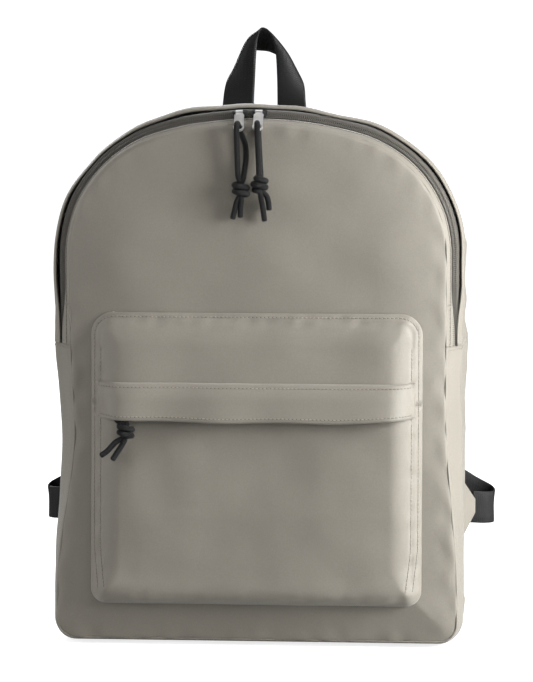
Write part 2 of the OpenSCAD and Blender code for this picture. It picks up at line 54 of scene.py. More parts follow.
def camera():
    data = bpy.data.cameras.new("camera")
    cam = bpy.data.objects.new("camera", data)
    bpy.context.collection.objects.link(cam)
    bpy.context.scene.camera = cam
    az, el, dist = math.radians(4.2), math.radians(6.3), 2.6
    target = np.array([0.0063, -0.04, 0.2255])
    place = target + dist * np.array(
        [math.sin(az) * math.cos(el), -math.cos(az) * math.cos(el), math.sin(el)])
    cam.location = place
    look(cam, target - place)
    data.lens = dist * 36 / 0.505
    data.clip_end = 50


def look(ob, direction):
    ob.rotation_euler = Vector(direction).to_track_quat("-Z", "Y").to_euler()


def area(name, place, aim, size, power):
    data = bpy.data.lights.new(name, "AREA")
    data.shape = "DISK"
    data.size = size
    data.energy = power
    ob = bpy.data.objects.new(name, data)
    bpy.context.collection.objects.link(ob)
    ob.location = place
    look(ob, np.array(aim) - np.array(place))


def studio():
    area("key", (1.12, -0.37, 0.50), (0.06, -0.05, 0.22), 0.75, 46)
    area("fill", (-1.4, -0.50, 0.6), (0, 0, 0.2), 0.9, 14)
    area("top", (0.25, -0.40, 1.6), (0, 0, 0.3), 0.8, 8)
    area("back", (-0.7, 1.6, 1.1), (0, 0, 0.25), 1.1, 26)


def backdrop():
    """A world that the camera sees as white, and that lights the bag only a little."""
    world = bpy.data.worlds.new("world")
    bpy.context.scene.world = world
    world.use_nodes = True
    nt = world.node_tree
    nt.nodes.clear()
    out = nt.nodes.new("ShaderNodeOutputWorld")
    mix = nt.nodes.new("ShaderNodeMixShader")
    path = nt.nodes.new("ShaderNodeLightPath")
    nt.links.new(path.outputs["Is Camera Ray"], mix.inputs["Fac"])
    for place, strength in ((1, 0.13), (2, 1.0)):
        shade = nt.nodes.new("ShaderNodeBackground")
        shade.inputs["Strength"].default_value = strength
        shade.inputs["Color"].default_value = (1, 1, 1, 1)
        nt.links.new(shade.outputs[0], mix.inputs[place])
    nt.links.new(mix.outputs[0], out.inputs["Surface"])
    bpy.context.scene.view_settings.view_transform = "Standard"


def floor():
    """A pale floor that glows for the camera only, and more so further from the bag; the dimmer glow near
    the bag paints a faint shade round it.
    """
    mesh = bpy.data.meshes.new("floor")
    w = 40
    corners = [(-w, -w, 0), (w, -w, 0), (w, w, 0), (-w, w, 0)]
    mesh.from_pydata(corners, [], [(0, 1, 2, 3)])
    ob = bpy.data.objects.new("floor", mesh)
    bpy.context.collection.objects.link(ob)
    t = Tree("floor")
    t.bsdf.inputs["Base Color"].default_value = (0.40, 0.40, 0.40, 1)
    t.bsdf.inputs["Emission Color"].default_value = (1, 1, 1, 1)
    far = t.node("ShaderNodeVectorMath", operation="LENGTH")
    t.put(far.inputs[0], t.co.outputs["Object"])
    # dimmer glow near the bag: painted shade round its foot
    level = t.ramp(far.outputs["Value"], 0.80, 1.05, 0.25, 1.10)
    eye = t.node("ShaderNodeLightPath")
    glow = t.math("MULTIPLY", level, eye.outputs["Is Camera Ray"])
    t.put(t.bsdf.inputs["Emission Strength"], glow)
    ob.data.materials.append(t.finish(0.6))


# ---------------- materials

class Tree:
    """Short names for the nodes of one material."""

    def __init__(self, name):
        self.mat = bpy.data.materials.new(name)
        self.mat.use_nodes = True
        self.nt = self.mat.node_tree
        self.bsdf = self.nt.nodes["Principled BSDF"]
        self.co = self.node("ShaderNodeTexCoord")

    def node(self, kind, **attrs):
        n = self.nt.nodes.new(kind)
        for k, v in attrs.items():
            setattr(n, k, v)
        return n

    def put(self, socket, value):
        if isinstance(value, bpy.types.NodeSocket):
            self.nt.links.new(value, socket)
        else:
            socket.default_value = value

    def math(self, op, a, b=0.0, c=None):
        n = self.node("ShaderNodeMath", operation=op)
        self.put(n.inputs[0], a)
        self.put(n.inputs[1], b)
        if c is not None:
            self.put(n.inputs[2], c)
        return n.outputs[0]

    def noise(self, scale, detail):
        n = self.node("ShaderNodeTexNoise")
        n.inputs["Scale"].default_value = scale
        n.inputs["Detail"].default_value = detail
        self.put(n.inputs["Vector"], self.co.outputs["Object"])
        return n.outputs["Fac"]

    def ramp(self, fac, low, high, a=0.3, b=0.7):
        n = self.node("ShaderNodeMapRange")
        self.put(n.inputs["Value"], fac)
        n.inputs["From Min"].default_value = a
        n.inputs["From Max"].default_value = b
        n.inputs["To Min"].default_value = low
        n.inputs["To Max"].default_value = high
        return n.outputs[0]

    def split(self, vector):
        n = self.node("ShaderNodeSeparateXYZ")
        self.nt.links.new(vector, n.inputs[0])
        return n.outputs

    def ripple(self, v, pitch):
        """A sine of the distance v, half a turn in each pitch."""
        return self.math("SINE", self.math("MULTIPLY", v, math.pi / pitch))

    def cells(self, a, b):
        return self.math("ABSOLUTE", self.math("MULTIPLY", a, b))

    def diamonds(self, u, v, pitch):
        """Height of a grid that runs slantwise over u and v."""
        a = self.ripple(self.math("ADD", u, v), pitch)
        return self.cells(a, self.ripple(self.math("SUBTRACT", u, v), pitch))

    def weave(self, pitch):
        """Height of a plain weave, 0 to 1, on whichever way the surface faces."""
        p = self.split(self.co.outputs["Object"])
        n = self.split(self.co.outputs["Normal"])
        s = [self.ripple(v, pitch) for v in p]
        w = [self.math("POWER", self.math("ABSOLUTE", v), 4.0) for v in n]
        total = self.math("ADD", self.math("ADD", w[0], w[1]), self.math("ADD", w[2], 1e-4))
        out = 0.0
        for k in range(3):
            cell = self.cells(s[(k + 1) % 3], s[(k + 2) % 3])
            out = self.math("MULTIPLY_ADD", cell, w[k], out)
        return self.math("DIVIDE", out, total)

    def uv(self):
        n = self.node("ShaderNodeUVMap", uv_map="uv")
        return self.split(n.outputs[0])

    def bump(self, height, distance, strength=1.0, under=None):
        n = self.node("ShaderNodeBump")
        n.inputs["Distance"].default_value = distance
        n.inputs["Strength"].default_value = strength
        self.put(n.inputs["Height"], height)
        if under is not None:
            self.nt.links.new(under, n.inputs["Normal"])
        return n.outputs[0]

    def colour(self, base, value):
        """The base colour times a value that varies over the surface."""
        n = self.node("ShaderNodeVectorMath", operation="SCALE")
        n.inputs[0].default_value = base[:3]
        self.put(n.inputs["Scale"], value)
        self.nt.links.new(n.outputs[0], self.bsdf.inputs["Base Color"])

    def finish(self, rough, normal=None, **sockets):
        self.put(self.bsdf.inputs["Roughness"], rough)
        if normal is not None:
            self.nt.links.new(normal, self.bsdf.inputs["Normal"])
        for k, v in sockets.items():
            self.bsdf.inputs[k.replace("_", " ")].default_value = v
        return self.mat


def cloth(name, base, pitch=0.00055, weave_shade=0.10, sheen=0.25, rough=0.52, crease=0.00035):
    t = Tree(name)
    w = t.weave(pitch)
    patch = t.noise(26, 3)
    fleck = t.noise(950, 1)
    # darker in the weave's gaps and lighter on its crowns: painted shade of the weave's relief; the patch
    # and fleck noises are random tone
    v = t.math("MULTIPLY", t.ramp(w, 1 - weave_shade, 1 + weave_shade * 0.6, 0, 1), t.ramp(patch, 0.965, 1.03))
    v = t.math("MULTIPLY", v, t.ramp(fleck, 0.955, 1.045))
    t.colour(base, v)
    n = t.bump(t.noise(55, 4), crease, 0.55)
    n = t.bump(t.noise(420, 2), 0.00008, 0.5, n)
    n = t.bump(w, 0.00012, 0.55, n)
    return t.finish(t.ramp(patch, rough - 0.04, rough + 0.05), n,
                    Sheen_Weight=sheen, Sheen_Roughness=0.45, Specular_IOR_Level=0.32)


def webbing(name, base):
    """Ribbed webbing: UV runs across and along the band, in metres."""
    t = Tree(name)
    u, v = t.uv()[:2]
    rib = t.math("ABSOLUTE", t.ripple(v, 0.0016))
    grid = t.math("MULTIPLY", t.ripple(u, 0.0011), t.ripple(v, 0.0008))
    yarn = t.math("MULTIPLY_ADD", grid, 0.5, 0.5)
    h = t.math("MULTIPLY_ADD", yarn, 0.6, t.math("MULTIPLY", rib, 0.4))
    worn = t.ramp(t.noise(60, 2), 0.85, 1.2)
    # darker in the grooves and lighter on the raised yarns and ribs: painted shade and highlight of the
    # relief; the worn noise is random tone
    t.colour(base, t.math("MULTIPLY", t.ramp(h, 0.55, 1.5, 0, 1), worn))
    n = t.bump(h, 0.0003, 0.8)
    return t.finish(t.ramp(h, 0.62, 0.48, 0, 1), n,
                    Sheen_Weight=0.02, Sheen_Roughness=0.4, Specular_IOR_Level=0.2)


def braid(name, base):
    """Braided cord: UV runs round and along it, both in turns of its diameter."""
    t = Tree(name)
    u, v = t.uv()[:2]
    h = t.diamonds(u, v, 0.25)
    # darker between the strands and lighter on their crowns: painted shade and highlight of the braid's
    # relief
    t.colour(base, t.ramp(h, 0.5, 2.0, 0, 1))
    n = t.bump(h, 0.0005, 0.9)
    return t.finish(0.58, n, Sheen_Weight=0.02, Sheen_Roughness=0.4, Specular_IOR_Level=0.22)


def metal(name, base, rough):
    t = Tree(name)
    worn = t.noise(380, 3)
    t.colour(base, t.ramp(t.noise(160, 2), 0.88, 1.08))
    n = t.bump(worn, 0.00001, 0.2)
    return t.finish(t.ramp(worn, rough, rough + 0.12), n, Metallic=1.0)


def plastic(name, base):
    t = Tree(name)
    grain = t.noise(1400, 2)
    t.colour(base, t.ramp(grain, 0.85, 1.2))
    return t.finish(t.ramp(grain, 0.38, 0.5), t.bump(grain, 0.00003, 0.5), Specular_IOR_Level=0.5)


def knit(name, base):
    """Spacer mesh: a grid of small round holes between raised yarns."""
    t = Tree(name)
    p = t.split(t.co.outputs["Object"])
    h = t.diamonds(p[0], p[2], 0.0026)
    # the holes painted dark and the yarn tops light: painted shade in the holes
    t.colour(base, t.ramp(h, 1.25, 0.45, 0, 1))
    return t.finish(0.8, t.bump(h, 0.0006, -0.8), Sheen_Weight=0.3)


TAUPE = (0.178, 0.164, 0.137)


def taupe(k):
    """The bag's colour, k times as bright."""
    return tuple(k * c for c in TAUPE)


canvas = cloth("canvas", TAUPE)
canvas_in = cloth("canvas_inside", taupe(0.62), sheen=0.1, rough=0.8)
# Tapes: the bag's own taupe at half brightness, painted shade for tapes that sit down in the zip's slot or
# inside the bag
tape_cloth_shaded = cloth("tape", taupe(0.5), pitch=0.0008, weave_shade=0.2, crease=0.0001)
thread = cloth("thread", taupe(1.25), pitch=0.0002, crease=0.0)
# a dark blob sunk where each stitch dives in: painted shade of the needle hole
needle_hole_shade = cloth("needle_hole_shade", taupe(0.22), pitch=0.0002, crease=0.0)
# Coils: the bag's own taupe darkened, painted shade of the slot they sit in
teeth = plastic("teeth", taupe(0.42))
black_web = webbing("black_webbing", (0.0032, 0.0032, 0.0036))
black_thread = cloth("black_thread", (0.010, 0.010, 0.011), pitch=0.0002, crease=0.0, sheen=0.02)
black_cord = braid("black_cord", (0.0030, 0.0030, 0.0033))
black_plastic = plastic("black_plastic", (0.016, 0.016, 0.017))
mesh_cloth = knit("spacer_mesh", (0.03, 0.03, 0.032))
foam_mat = cloth("foam", (0.6, 0.6, 0.58), pitch=0.002, rough=0.9)
nickel = metal("nickel", (0.74, 0.73, 0.72), 0.30)
gun = metal("gunmetal", (0.10, 0.10, 0.105), 0.26)
FACES = [canvas, canvas_in]            # a cloth's outer and inner face


# ---------------- mesh helpers

def unit(v):
    return v / np.maximum(np.linalg.norm(v, axis=-1, keepdims=True), 1e-12)


def distances(path):
    """How far along a path each of its points lies."""
    return np.concatenate([[0], np.cumsum(np.linalg.norm(np.diff(path, axis=0), axis=1))])


def points_at(path, s):
    """The points of a path at the distances s along it."""
    run = distances(path)
    return np.stack([np.interp(s, run, q) for q in path.T], 1)


def every(path, step):
    return points_at(path, np.arange(0, distances(path)[-1], step))


def ring_uv(across, along):
    """UV of a skin through rings: across runs round each ring, along goes from ring to ring."""
    return np.stack(np.broadcast_arrays(across[None], along[:, None]), -1).reshape(-1, 2)


def spline(points, m):
    """The same Catmull-Rom curve as the model's."""
    p = np.array(points, float)
    out = []
    for i in range(len(p) - 1):
        a, b, c, d = p[max(i - 1, 0)], p[i], p[i + 1], p[min(i + 2, len(p) - 1)]
        for j in range(m):
            t = j / m
            out.append(0.5 * (2 * b + (c - a) * t + (2 * a - 5 * b + 4 * c - d) * t * t
                              + (3 * b - a - 3 * c + d) * t ** 3))
    out.append(p[-1])
    return np.array(out)


def tangents(p):
    t = np.empty_like(p)
    t[1:-1] = p[2:] - p[:-2]
    t[0], t[-1] = p[1] - p[0], p[-1] - p[-2]
    return unit(t)


def link(name, verts, faces, mats, body, nodes=(), slot=None, uv=None, picks=None):
    mesh = bpy.data.meshes.new(name)
    mesh.from_pydata([tuple(v) for v in verts], [], faces)
    if uv is not None:
        layer = mesh.uv_layers.new(name="uv")
        loops = np.empty(len(mesh.loops), int)
        mesh.loops.foreach_get("vertex_index", loops)
        layer.data.foreach_set("uv", np.asarray(uv, float)[loops].ravel())
    mats = mats if isinstance(mats, list) else [mats]
    for m in mats:
        mesh.materials.append(m)
    if picks is not None:
        mesh.polygons.foreach_set("material_index", np.asarray(picks, np.int32))
    mesh.polygons.foreach_set("use_smooth", [True] * len(mesh.polygons))
    mesh.update()
    ob = bpy.data.objects.new(name, mesh)
    bpy.context.collection.objects.link(ob)
    if body:
        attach(ob, body)
    if nodes:
        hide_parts(*nodes)
    return ob


def grid_normals(p, closed):
    """Which way a grid of points faces; a closed one comes round to its first row again."""
    du = np.roll(p, -1, 0) - np.roll(p, 1, 0)
    if not closed:
        du[0], du[-1] = p[1] - p[0], p[-1] - p[-2]
    dv = np.empty_like(p)
    dv[:, 1:-1] = p[:, 2:] - p[:, :-2]
    dv[:, 0], dv[:, -1] = p[:, 1] - p[:, 0], p[:, -1] - p[:, -2]
    return unit(np.cross(du, dv))


def shell(name, p, t, mats, body, nodes=(), slot=None, closed=False, flip=False):
    """A sheet of thickness t behind the grid of points p, which faces along its normals."""
    nu, nv = p.shape[:2]
    n = grid_normals(p, closed)
    if flip:
        n = -n
    verts = np.concatenate([p.reshape(-1, 3), (p - n * t).reshape(-1, 3)])
    faces, picks = [], []
    off = nu * nv
    us = range(nu) if closed else range(nu - 1)
    for i in us:
        j = (i + 1) % nu
        for c in range(nv - 1):
            q = [i * nv + c, j * nv + c, j * nv + c + 1, i * nv + c + 1]
            if flip:
                q = q[::-1]
            faces.append(q)
            picks.append(0)
            faces.append([off + x for x in q[::-1]])
            picks.append(1)
    edges = [[i * nv for i in range(nu)], [i * nv + nv - 1 for i in range(nu)][::-1]]
    if closed:
        edges = [e + [e[0]] for e in edges]
    else:
        edges += [[(nu - 1) * nv + c for c in range(nv)], list(range(nv))[::-1]]
    for e in edges:
        for a, b in zip(e, e[1:]):
            q = [b, a, off + a, off + b]
            faces.append(q[::-1] if flip else q)
            picks.append(0)
    if not isinstance(mats, list):
        picks = [0] * len(picks)
    steps = [np.linalg.norm(np.diff(p, axis=k), axis=2).mean(1 - k) for k in (0, 1)]
    lu, lv = (np.concatenate([[0], np.cumsum(s)]) for s in steps)
    uv = np.stack(np.meshgrid(lv, lu), -1).reshape(-1, 2)
    return link(name, verts, faces, mats, body, nodes, slot, uv=np.concatenate([uv, uv]),
                picks=picks)


def rings(name, r, mats, body, nodes=(), slot=None, uv=None, loop=False, **k):
    """A solid skin through rings of points; r is rings x points x 3, and a loop has no ends."""
    n, m = r.shape[:2]
    faces = []
    for i in range(n if loop else n - 1):
        a, b = i * m, (i + 1) % n * m
        faces += [[a + j, a + (j + 1) % m, b + (j + 1) % m, b + j] for j in range(m)]
    if not loop:
        faces += [list(range(m))[::-1], [(n - 1) * m + j for j in range(m)]]
    return link(name, r.reshape(-1, 3), faces, mats, body, nodes, slot, uv=uv, **k)


def tube(name, path, d, mats, body, sides=12, nodes=(), slot=None):
    """A round tube along a path, with slightly narrowed ends; its length comes back too."""
    t = tangents(path)
    s = unit(np.cross(t, [0.02, 1, 0.03]))
    for i in range(1, len(s)):
        s[i] = unit(s[i - 1] - t[i] * (s[i - 1] @ t[i]))
    n = np.cross(t, s)
    a = np.arange(sides) * 2 * np.pi / sides
    r = np.full(len(path), d / 2)
    r[0] *= 0.7
    r[-1] *= 0.7
    a = a[None, :, None]
    ring = path[:, None] + r[:, None, None] * (np.cos(a) * s[:, None] + np.sin(a) * n[:, None])
    run = distances(path)
    uv = ring_uv(a[0, :, 0] / np.pi, run / d * 0.9)
    return rings(name, ring, mats, body, nodes, slot, uv=uv), run[-1]


def ribbon(name, path, side, w, t, mats, body, nodes=(), slot=None):
    """Webbing along a path; side is the direction across it, one or one for each point."""
    along = tangents(path)
    side = np.asarray(side, float)
    s = unit(side - along * np.sum(side * along, 1, keepdims=True))
    n = np.cross(along, s)
    q = []
    for sx, sy in ((1, 0), (0.985, 0.8), (0.93, 1), (0.5, 1), (0, 1), (-0.5, 1), (-0.93, 1),
                   (-0.985, 0.8), (-1, 0), (-0.985, -0.8), (-0.93, -1), (-0.5, -1), (0, -1),
                   (0.5, -1), (0.93, -1), (0.985, -0.8)):
        q.append(path + s * (w / 2 * sx) + n * (t / 2 * sy))
    ring = np.stack(q, 1)
    across = w * np.array([1, .99, .96, .75, .5, .25, .04, .01, 0, .01, .04, .25, .5, .75, .96, .99])
    uv = ring_uv(across, distances(path))
    return rings(name, ring, mats, body, nodes, slot, uv=uv)


def stitches(name, path, normal, mat, body, pitch=2.9 * MM, length=2.1 * MM, r=0.36 * MM):
    """Separate thread stitches along a path that lies on a surface, with needle holes painted dark as
    shade.
    """
    if not isinstance(path, list):
        path, normal = [path], [normal]
    verts, faces, picks = [], [], []
    for pa, no in zip(path, normal):
        no = np.broadcast_to(no, pa.shape)
        run = distances(pa)
        n = int(run[-1] / pitch)
        for i in range(2 * n - 1):
            hole = i % 2
            c = (i + 1) * run[-1] / (2 * n)
            reach, rad = (0.55 * MM, 0.9 * r) if hole else (length / 2, r)
            ends = [c - reach, c, c + reach]
            pts = np.stack([np.interp(ends, run, q) for q in pa.T], 1)
            nn = unit(np.array([np.interp(c, run, q) for q in no.T]))
            t = unit(pts[2] - pts[0])
            s = unit(np.cross(t, nn))
            base = len(verts)
            high = -0.75 if hole else 0.35
            for q, (rr, lift) in enumerate(((0.45, -0.25), (1.0, high), (0.45, -0.25))):
                for a in range(6):
                    ang = a * math.pi / 3
                    verts.append(pts[q] + nn * lift * rad
                                 + rr * rad * (math.cos(ang) * s + math.sin(ang) * nn))
            for q in range(2):
                for a in range(6):
                    b = (a + 1) % 6
                    faces.append([base + q * 6 + 6 + a, base + q * 6 + 6 + b, base + q * 6 + b,
                                  base + q * 6 + a])
            faces.append([base + a for a in range(6)])
            faces.append([base + 12 + a for a in range(6)][::-1])
            picks += [hole] * (2 * 6 + 2)
    return link(name, verts, faces, [mat, needle_hole_shade], body, picks=picks)


def swell(ob, held, pressure, cap):
    """Blow a closed piece up with a short cloth simulation, some of its points held still."""
    scene = bpy.context.scene
    ob.vertex_groups.new(name="held").add([int(v) for v in held], 1.0, "REPLACE")
    mod = ob.modifiers.new("swell", "CLOTH")
    mod.settings.vertex_group_mass = "held"
    mod.settings.use_pressure = True
    mod.settings.uniform_pressure_force = pressure
    mod.settings.effector_weights.gravity = 0
    mod.collision_settings.use_collision = False
    n = len(ob.data.vertices)
    rest, got = np.empty(n * 3), np.empty(n * 3)
    ob.data.vertices.foreach_get("co", rest)
    frames = 20
    for f in range(1, frames + 1):
        scene.frame_set(f)
    view = ob.evaluated_get(bpy.context.evaluated_depsgraph_get())
    view.data.vertices.foreach_get("co", got)
    move = (got - rest).reshape(-1, 3)
    size = np.maximum(np.linalg.norm(move, axis=1, keepdims=True), 1e-9)
    move = move / size * cap * np.tanh(size / cap)
    ob.modifiers.remove(mod)
    ob.vertex_groups.clear()
    ob.data.vertices.foreach_set("co", rest + move.ravel())
    ob.data.update()
    scene.frame_set(1)


def waves(p, scale, seed, n=7):
    """Smooth noise between about -1 and 1, made of sines."""
    g = np.random.default_rng(seed)
    out = np.zeros(p.shape[:-1])
    for _ in range(n):
        d = unit(g.normal(size=p.shape[-1]))
        out = out + np.sin(p @ d * (2 * np.pi / scale) * g.uniform(0.6, 1.5) + g.uniform(0, 6.28))
    return out / math.sqrt(n / 2) / 1.6


# ---------------- the bag's shape

HEIGHT = 0.400
HALF = 0.153                           # half the width
TOP_R, TOP_HALF = 0.280, 0.080         # the arch's top arc, and half its width
CORNER = 0.018
BACK = 0.060                           # half the depth at the foot
ZIP_END = 0.222                        # height where the zip's tapes end
FLAP_END = 0.2504                      # height where the flap's own pieces end
CLOTH = 0.0011                         # thickness of the canvas


def arc(cx, cz, r, a0, a1, n):
    a = np.radians(np.linspace(a0, a1, n))
    return np.stack([cx + r * np.cos(a), cz + r * np.sin(a)], 1)


def make_outline(n):
    """n points round the front's outline, their outward normals, and the length all round.
    Two corners, two side arcs, and a top arc that runs on from them."""
    ts = TOP_HALF / TOP_R
    ta = math.degrees(math.acos(ts))
    sr = (HALF - TOP_HALF) / (1 - ts)
    sx = HALF - sr
    tz = HEIGHT - TOP_R
    sz = tz + (TOP_R - sr) * math.sin(math.radians(ta))
    half = np.concatenate([
        [[0, 0]], arc(HALF - CORNER, CORNER, CORNER, -90, 0, 40),
        arc(sx, sz, sr, 0, ta, 200), arc(0, tz, TOP_R, ta, 90, 200)[1:]])
    other = half[::-1][1:-1] * [-1, 1]
    p = np.concatenate([half, other])
    loop = np.concatenate([p, p[:1]])
    length = distances(loop)[-1]
    out = points_at(loop, np.linspace(0, length, n, endpoint=False))
    t = np.roll(out, -1, 0) - np.roll(out, 1, 0)
    nrm = unit(np.stack([t[:, 1], -t[:, 0]], 1))
    return out, nrm, length


N = 560
OUT, NRM, PERIM = make_outline(N)
IR = int(np.argmax(OUT[:, 1] > ZIP_END))               # the zip's right end
IL = N - IR
FR = int(np.argmax(OUT[:, 1] > FLAP_END))              # the flap's right end
FL = N - FR


def inset(d, nz, z, nx=1.0):
    """How far the side's surface lies inside the outline, d behind the front seam."""
    side = np.interp(d, [0, 0.003, 0.0125, 0.022, 0.030, 0.07, 0.2],
                     [0.0128, 0.0118, 0.0066, 0.0010, 0, -0.0004, 0])
    low = np.interp(d, [0, 0.006, 0.014, 0.024, 0.2], [0.0036, 0.0024, 0.0008, 0.0001, 0])
    down = 1 - smooth((z - 0.030) / 0.150)
    narrow = 0.0085 * np.clip((nz + 0.05) / 0.45, 0, 1) * np.clip((d - 0.026) / 0.07, 0, 1) ** 0.8
    shoulder = 0.0070 * np.exp(-((nz - 0.62) / 0.30) ** 2) * np.clip((d - 0.024) / 0.05, 0, 1)
    slack = 0.0046 * np.exp(-((z - 0.147) / 0.055) ** 2) * np.clip(-nx, 0, 1)
    return side * (1 - down) + low * down + narrow + shoulder + slack


def smooth(q):
    q = np.clip(q, 0, 1)
    return q * q * (3 - 2 * q)


def closing(z):
    """How far the zip's slot has closed, from 0 on the arch to 1 at the zip's ends."""
    return smooth((0.268 - z) / 0.040)


def gusset_point(i, w=None, d=None, out=0.0, wrinkle=1.0):
    """A point on the bag's side, from outline position i and depth. Either w runs 0 to 1 from
    the front seam to the back seam, or d is metres behind the front seam."""
    i = np.asarray(i, float)
    k = np.floor(i).astype(int)
    f = (i - k)[..., None]
    o = OUT[k % N] * (1 - f) + OUT[(k + 1) % N] * f
    nr = unit(NRM[k % N] * (1 - f) + NRM[(k + 1) % N] * f)
    full = 2 * BACK - o[..., 1] * LEAN
    if d is None:
        d = w * full
    depth = d / full
    ins = inset(d, nr[..., 1], o[..., 1], nr[..., 0])
    flat = np.stack(np.broadcast_arrays(o[..., 0], d, o[..., 1]), -1)
    up = np.clip((o[..., 1] - 0.03) / 0.05, 0, 1)
    soft = np.sin(np.clip(depth, 0, 1) * np.pi) * up * wrinkle
    broad = 0.0024 * waves(flat * [1, 0.35, 1], 0.13, 3)
    puff = (broad + 0.0011 * waves(flat * [1, 0.6, 1], 0.045, 5)) * soft
    puff += 0.0008 * waves(flat * [1, 0.2, 1], 0.026, 8) * np.exp(-((1 - depth) / 0.12) ** 2) * up
    puff += 0.0012 * waves(flat * [1, 0.1, 1], 0.09, 11) * np.clip((depth - 0.3) / 0.7, 0, 1) * up
    puff -= 0.0007 * np.exp(-(d / 0.0022) ** 2) + 0.0006 * np.exp(-((full - d) / 0.002) ** 2)
    r = puff + out - ins
    x = o[..., 0] + nr[..., 0] * r
    z = o[..., 1] + nr[..., 1] * r
    y = -BACK + o[..., 1] * LEAN + d + 0 * x
    return np.stack([x, y, np.maximum(z, 0.0006)], -1)


SEAM = OUT - NRM * inset(0.0, NRM[:, 1], OUT[:, 1], NRM[:, 0])[:, None]


def seam_distance(x, z):
    p = np.stack([np.ravel(x), np.ravel(z)], 1)
    out = np.empty(len(p))
    for a in range(0, len(p), 4000):
        q = p[a:a + 4000]
        out[a:a + 4000] = np.sqrt(((q[:, None] - SEAM[None]) ** 2).sum(2).min(1))
    return out.reshape(np.shape(x))


def ease(q):
    return np.sin(np.clip(q, 0, 1) * np.pi / 2)


def front_y(x, z):
    """The front's surface, rounded towards the seam, with slow waves and a puckered edge."""
    e = seam_distance(x, z)
    p = np.stack([x, z], -1)
    soft = ease(e / 0.05)
    y = -BACK + z * LEAN - 0.0078 * ease(e / 0.052)
    y += 0.0050 * np.clip(1 - z / 0.034, 0, 1) ** 2 * soft
    y -= 0.0026 * np.exp(-((z - 0.30) / 0.055) ** 2 - (x / 0.10) ** 2) * soft
    y -= 0.0011 * waves(p * [1, 0.7], 0.17, 21) * soft
    y -= 0.0003 * waves(p, 0.06, 22) * soft
    pucker = np.exp(-(e / 0.010) ** 2)
    y -= 0.0005 * waves(p, 0.022, 23) * pucker
    y += 0.0006 * np.exp(-(e / 0.0022) ** 2)
    return y


# ---------------- pocket

PA = 0.1225                            # half the pocket's width
PZ0, PZ1 = 0.032, 0.248                # its bottom and top
PRT, PRB = 0.017, 0.012                # radii of its top and bottom corners
ZIP_Z, ZIP_HALF = 0.18095, 0.1155      # height of its zip, and half its length
PL_TOP, PL_LOW = 0.197, 0.1705         # the placket's seam and its loose edge


def pocket_inside(x, z):
    """How far inside the pocket's edge a point is."""
    r = np.where(z > 0.14, PRT, PRB)
    zc = (PZ0 + PZ1) / 2
    qx = np.abs(x) - (PA - r)
    qz = np.abs(z - zc) - ((PZ1 - PZ0) / 2 - r)
    d = np.hypot(np.maximum(qx, 0), np.maximum(qz, 0)) + np.minimum(np.maximum(qx, qz), 0) - r
    return -d


def pocket_y(x, z):
    """The pocket's surface: the front's, raised by a padded shape with creases."""
    e = pocket_inside(x, z)
    p = np.stack([x, z], -1)
    high = np.interp(z, [0.032, 0.10, 0.165, 0.197, 0.225, 0.248],
                     [0.0125, 0.0145, 0.0128, 0.0125, 0.0088, 0.0060])
    wide = 0.024 - 0.014 * np.clip((0.060 - z) / 0.028, 0, 1)
    h = 0.0013 + high * ease(e / wide) ** 0.9
    low = np.clip((0.172 - z) / 0.03, 0, 1)
    soft = ease(e / 0.03)
    crease = 0.0011 * waves(p * [1.1, 0.6], 0.15, 31)
    crease = crease + 0.0003 * waves(p * [1.4, 0.5], 0.045, 32)
    h = h + low * soft * crease
    h = h + (1 - low) * soft * 0.0006 * waves(p * [1, 0.6], 0.07, 33)
    h = h + 0.0005 * waves(p, 0.018, 34) * np.exp(-((e - 0.006) / 0.005) ** 2)
    side = smooth((np.abs(x) - PA + 0.020) / 0.010) * smooth((z - 0.040) / 0.02)
    groove = 0.0005 * np.exp(-((e - 0.0075) / 0.0014) ** 2)
    groove = groove + 0.0004 * np.exp(-((e - 0.0028) / 0.0012) ** 2)
    h = h - groove * side
    sag = 0.0030 * np.exp(-((z - 0.036) / 0.010) ** 2) * ease(e / 0.006)
    h = h + sag * (1 - smooth((np.abs(x) - 0.09) / 0.03))
    return front_y(x, z) - h


def pocket_half(z):
    """Half the pocket's width at height z."""
    top = np.clip(z - (PZ1 - PRT), 0, PRT)
    bot = np.clip((PZ0 + PRB) - z, 0, PRB)
    return PA - (PRT - np.sqrt(PRT ** 2 - top ** 2)) - (PRB - np.sqrt(PRB ** 2 - bot ** 2))


def pocket_panel(z0, z1, rows, cols=150):
    """Points of the pocket's cloth from z0 to z1, closer together at its outer edges."""
    z = z0 + (z1 - z0) * np.linspace(0, 1, rows)
    if z1 > 0.247:
        z = z0 + (z1 - z0) * np.sin(np.linspace(0, np.pi / 2, rows))
    if z0 < 0.033:
        z = z1 - (z1 - z0) * np.sin(np.linspace(0, np.pi / 2, rows))[::-1]
    u = np.sin(np.linspace(-np.pi / 2, np.pi / 2, cols)) * 0.6 + np.linspace(-1, 1, cols) * 0.4
    x = u[:, None] * pocket_half(z)[None]
    zz = np.broadcast_to(z[None], x.shape)
    end = 0.0062 * smooth((np.abs(x) - PA + 0.013) / 0.006)
    if z0 > ZIP_Z:
        zz = zz - end * np.clip((z0 + 0.010 - zz) / 0.010, 0, 1)
    else:
        zz = zz + end * np.clip((zz - z1 + 0.010) / 0.010, 0, 1)
    return np.stack([x, pocket_y(x, zz), zz], -1)


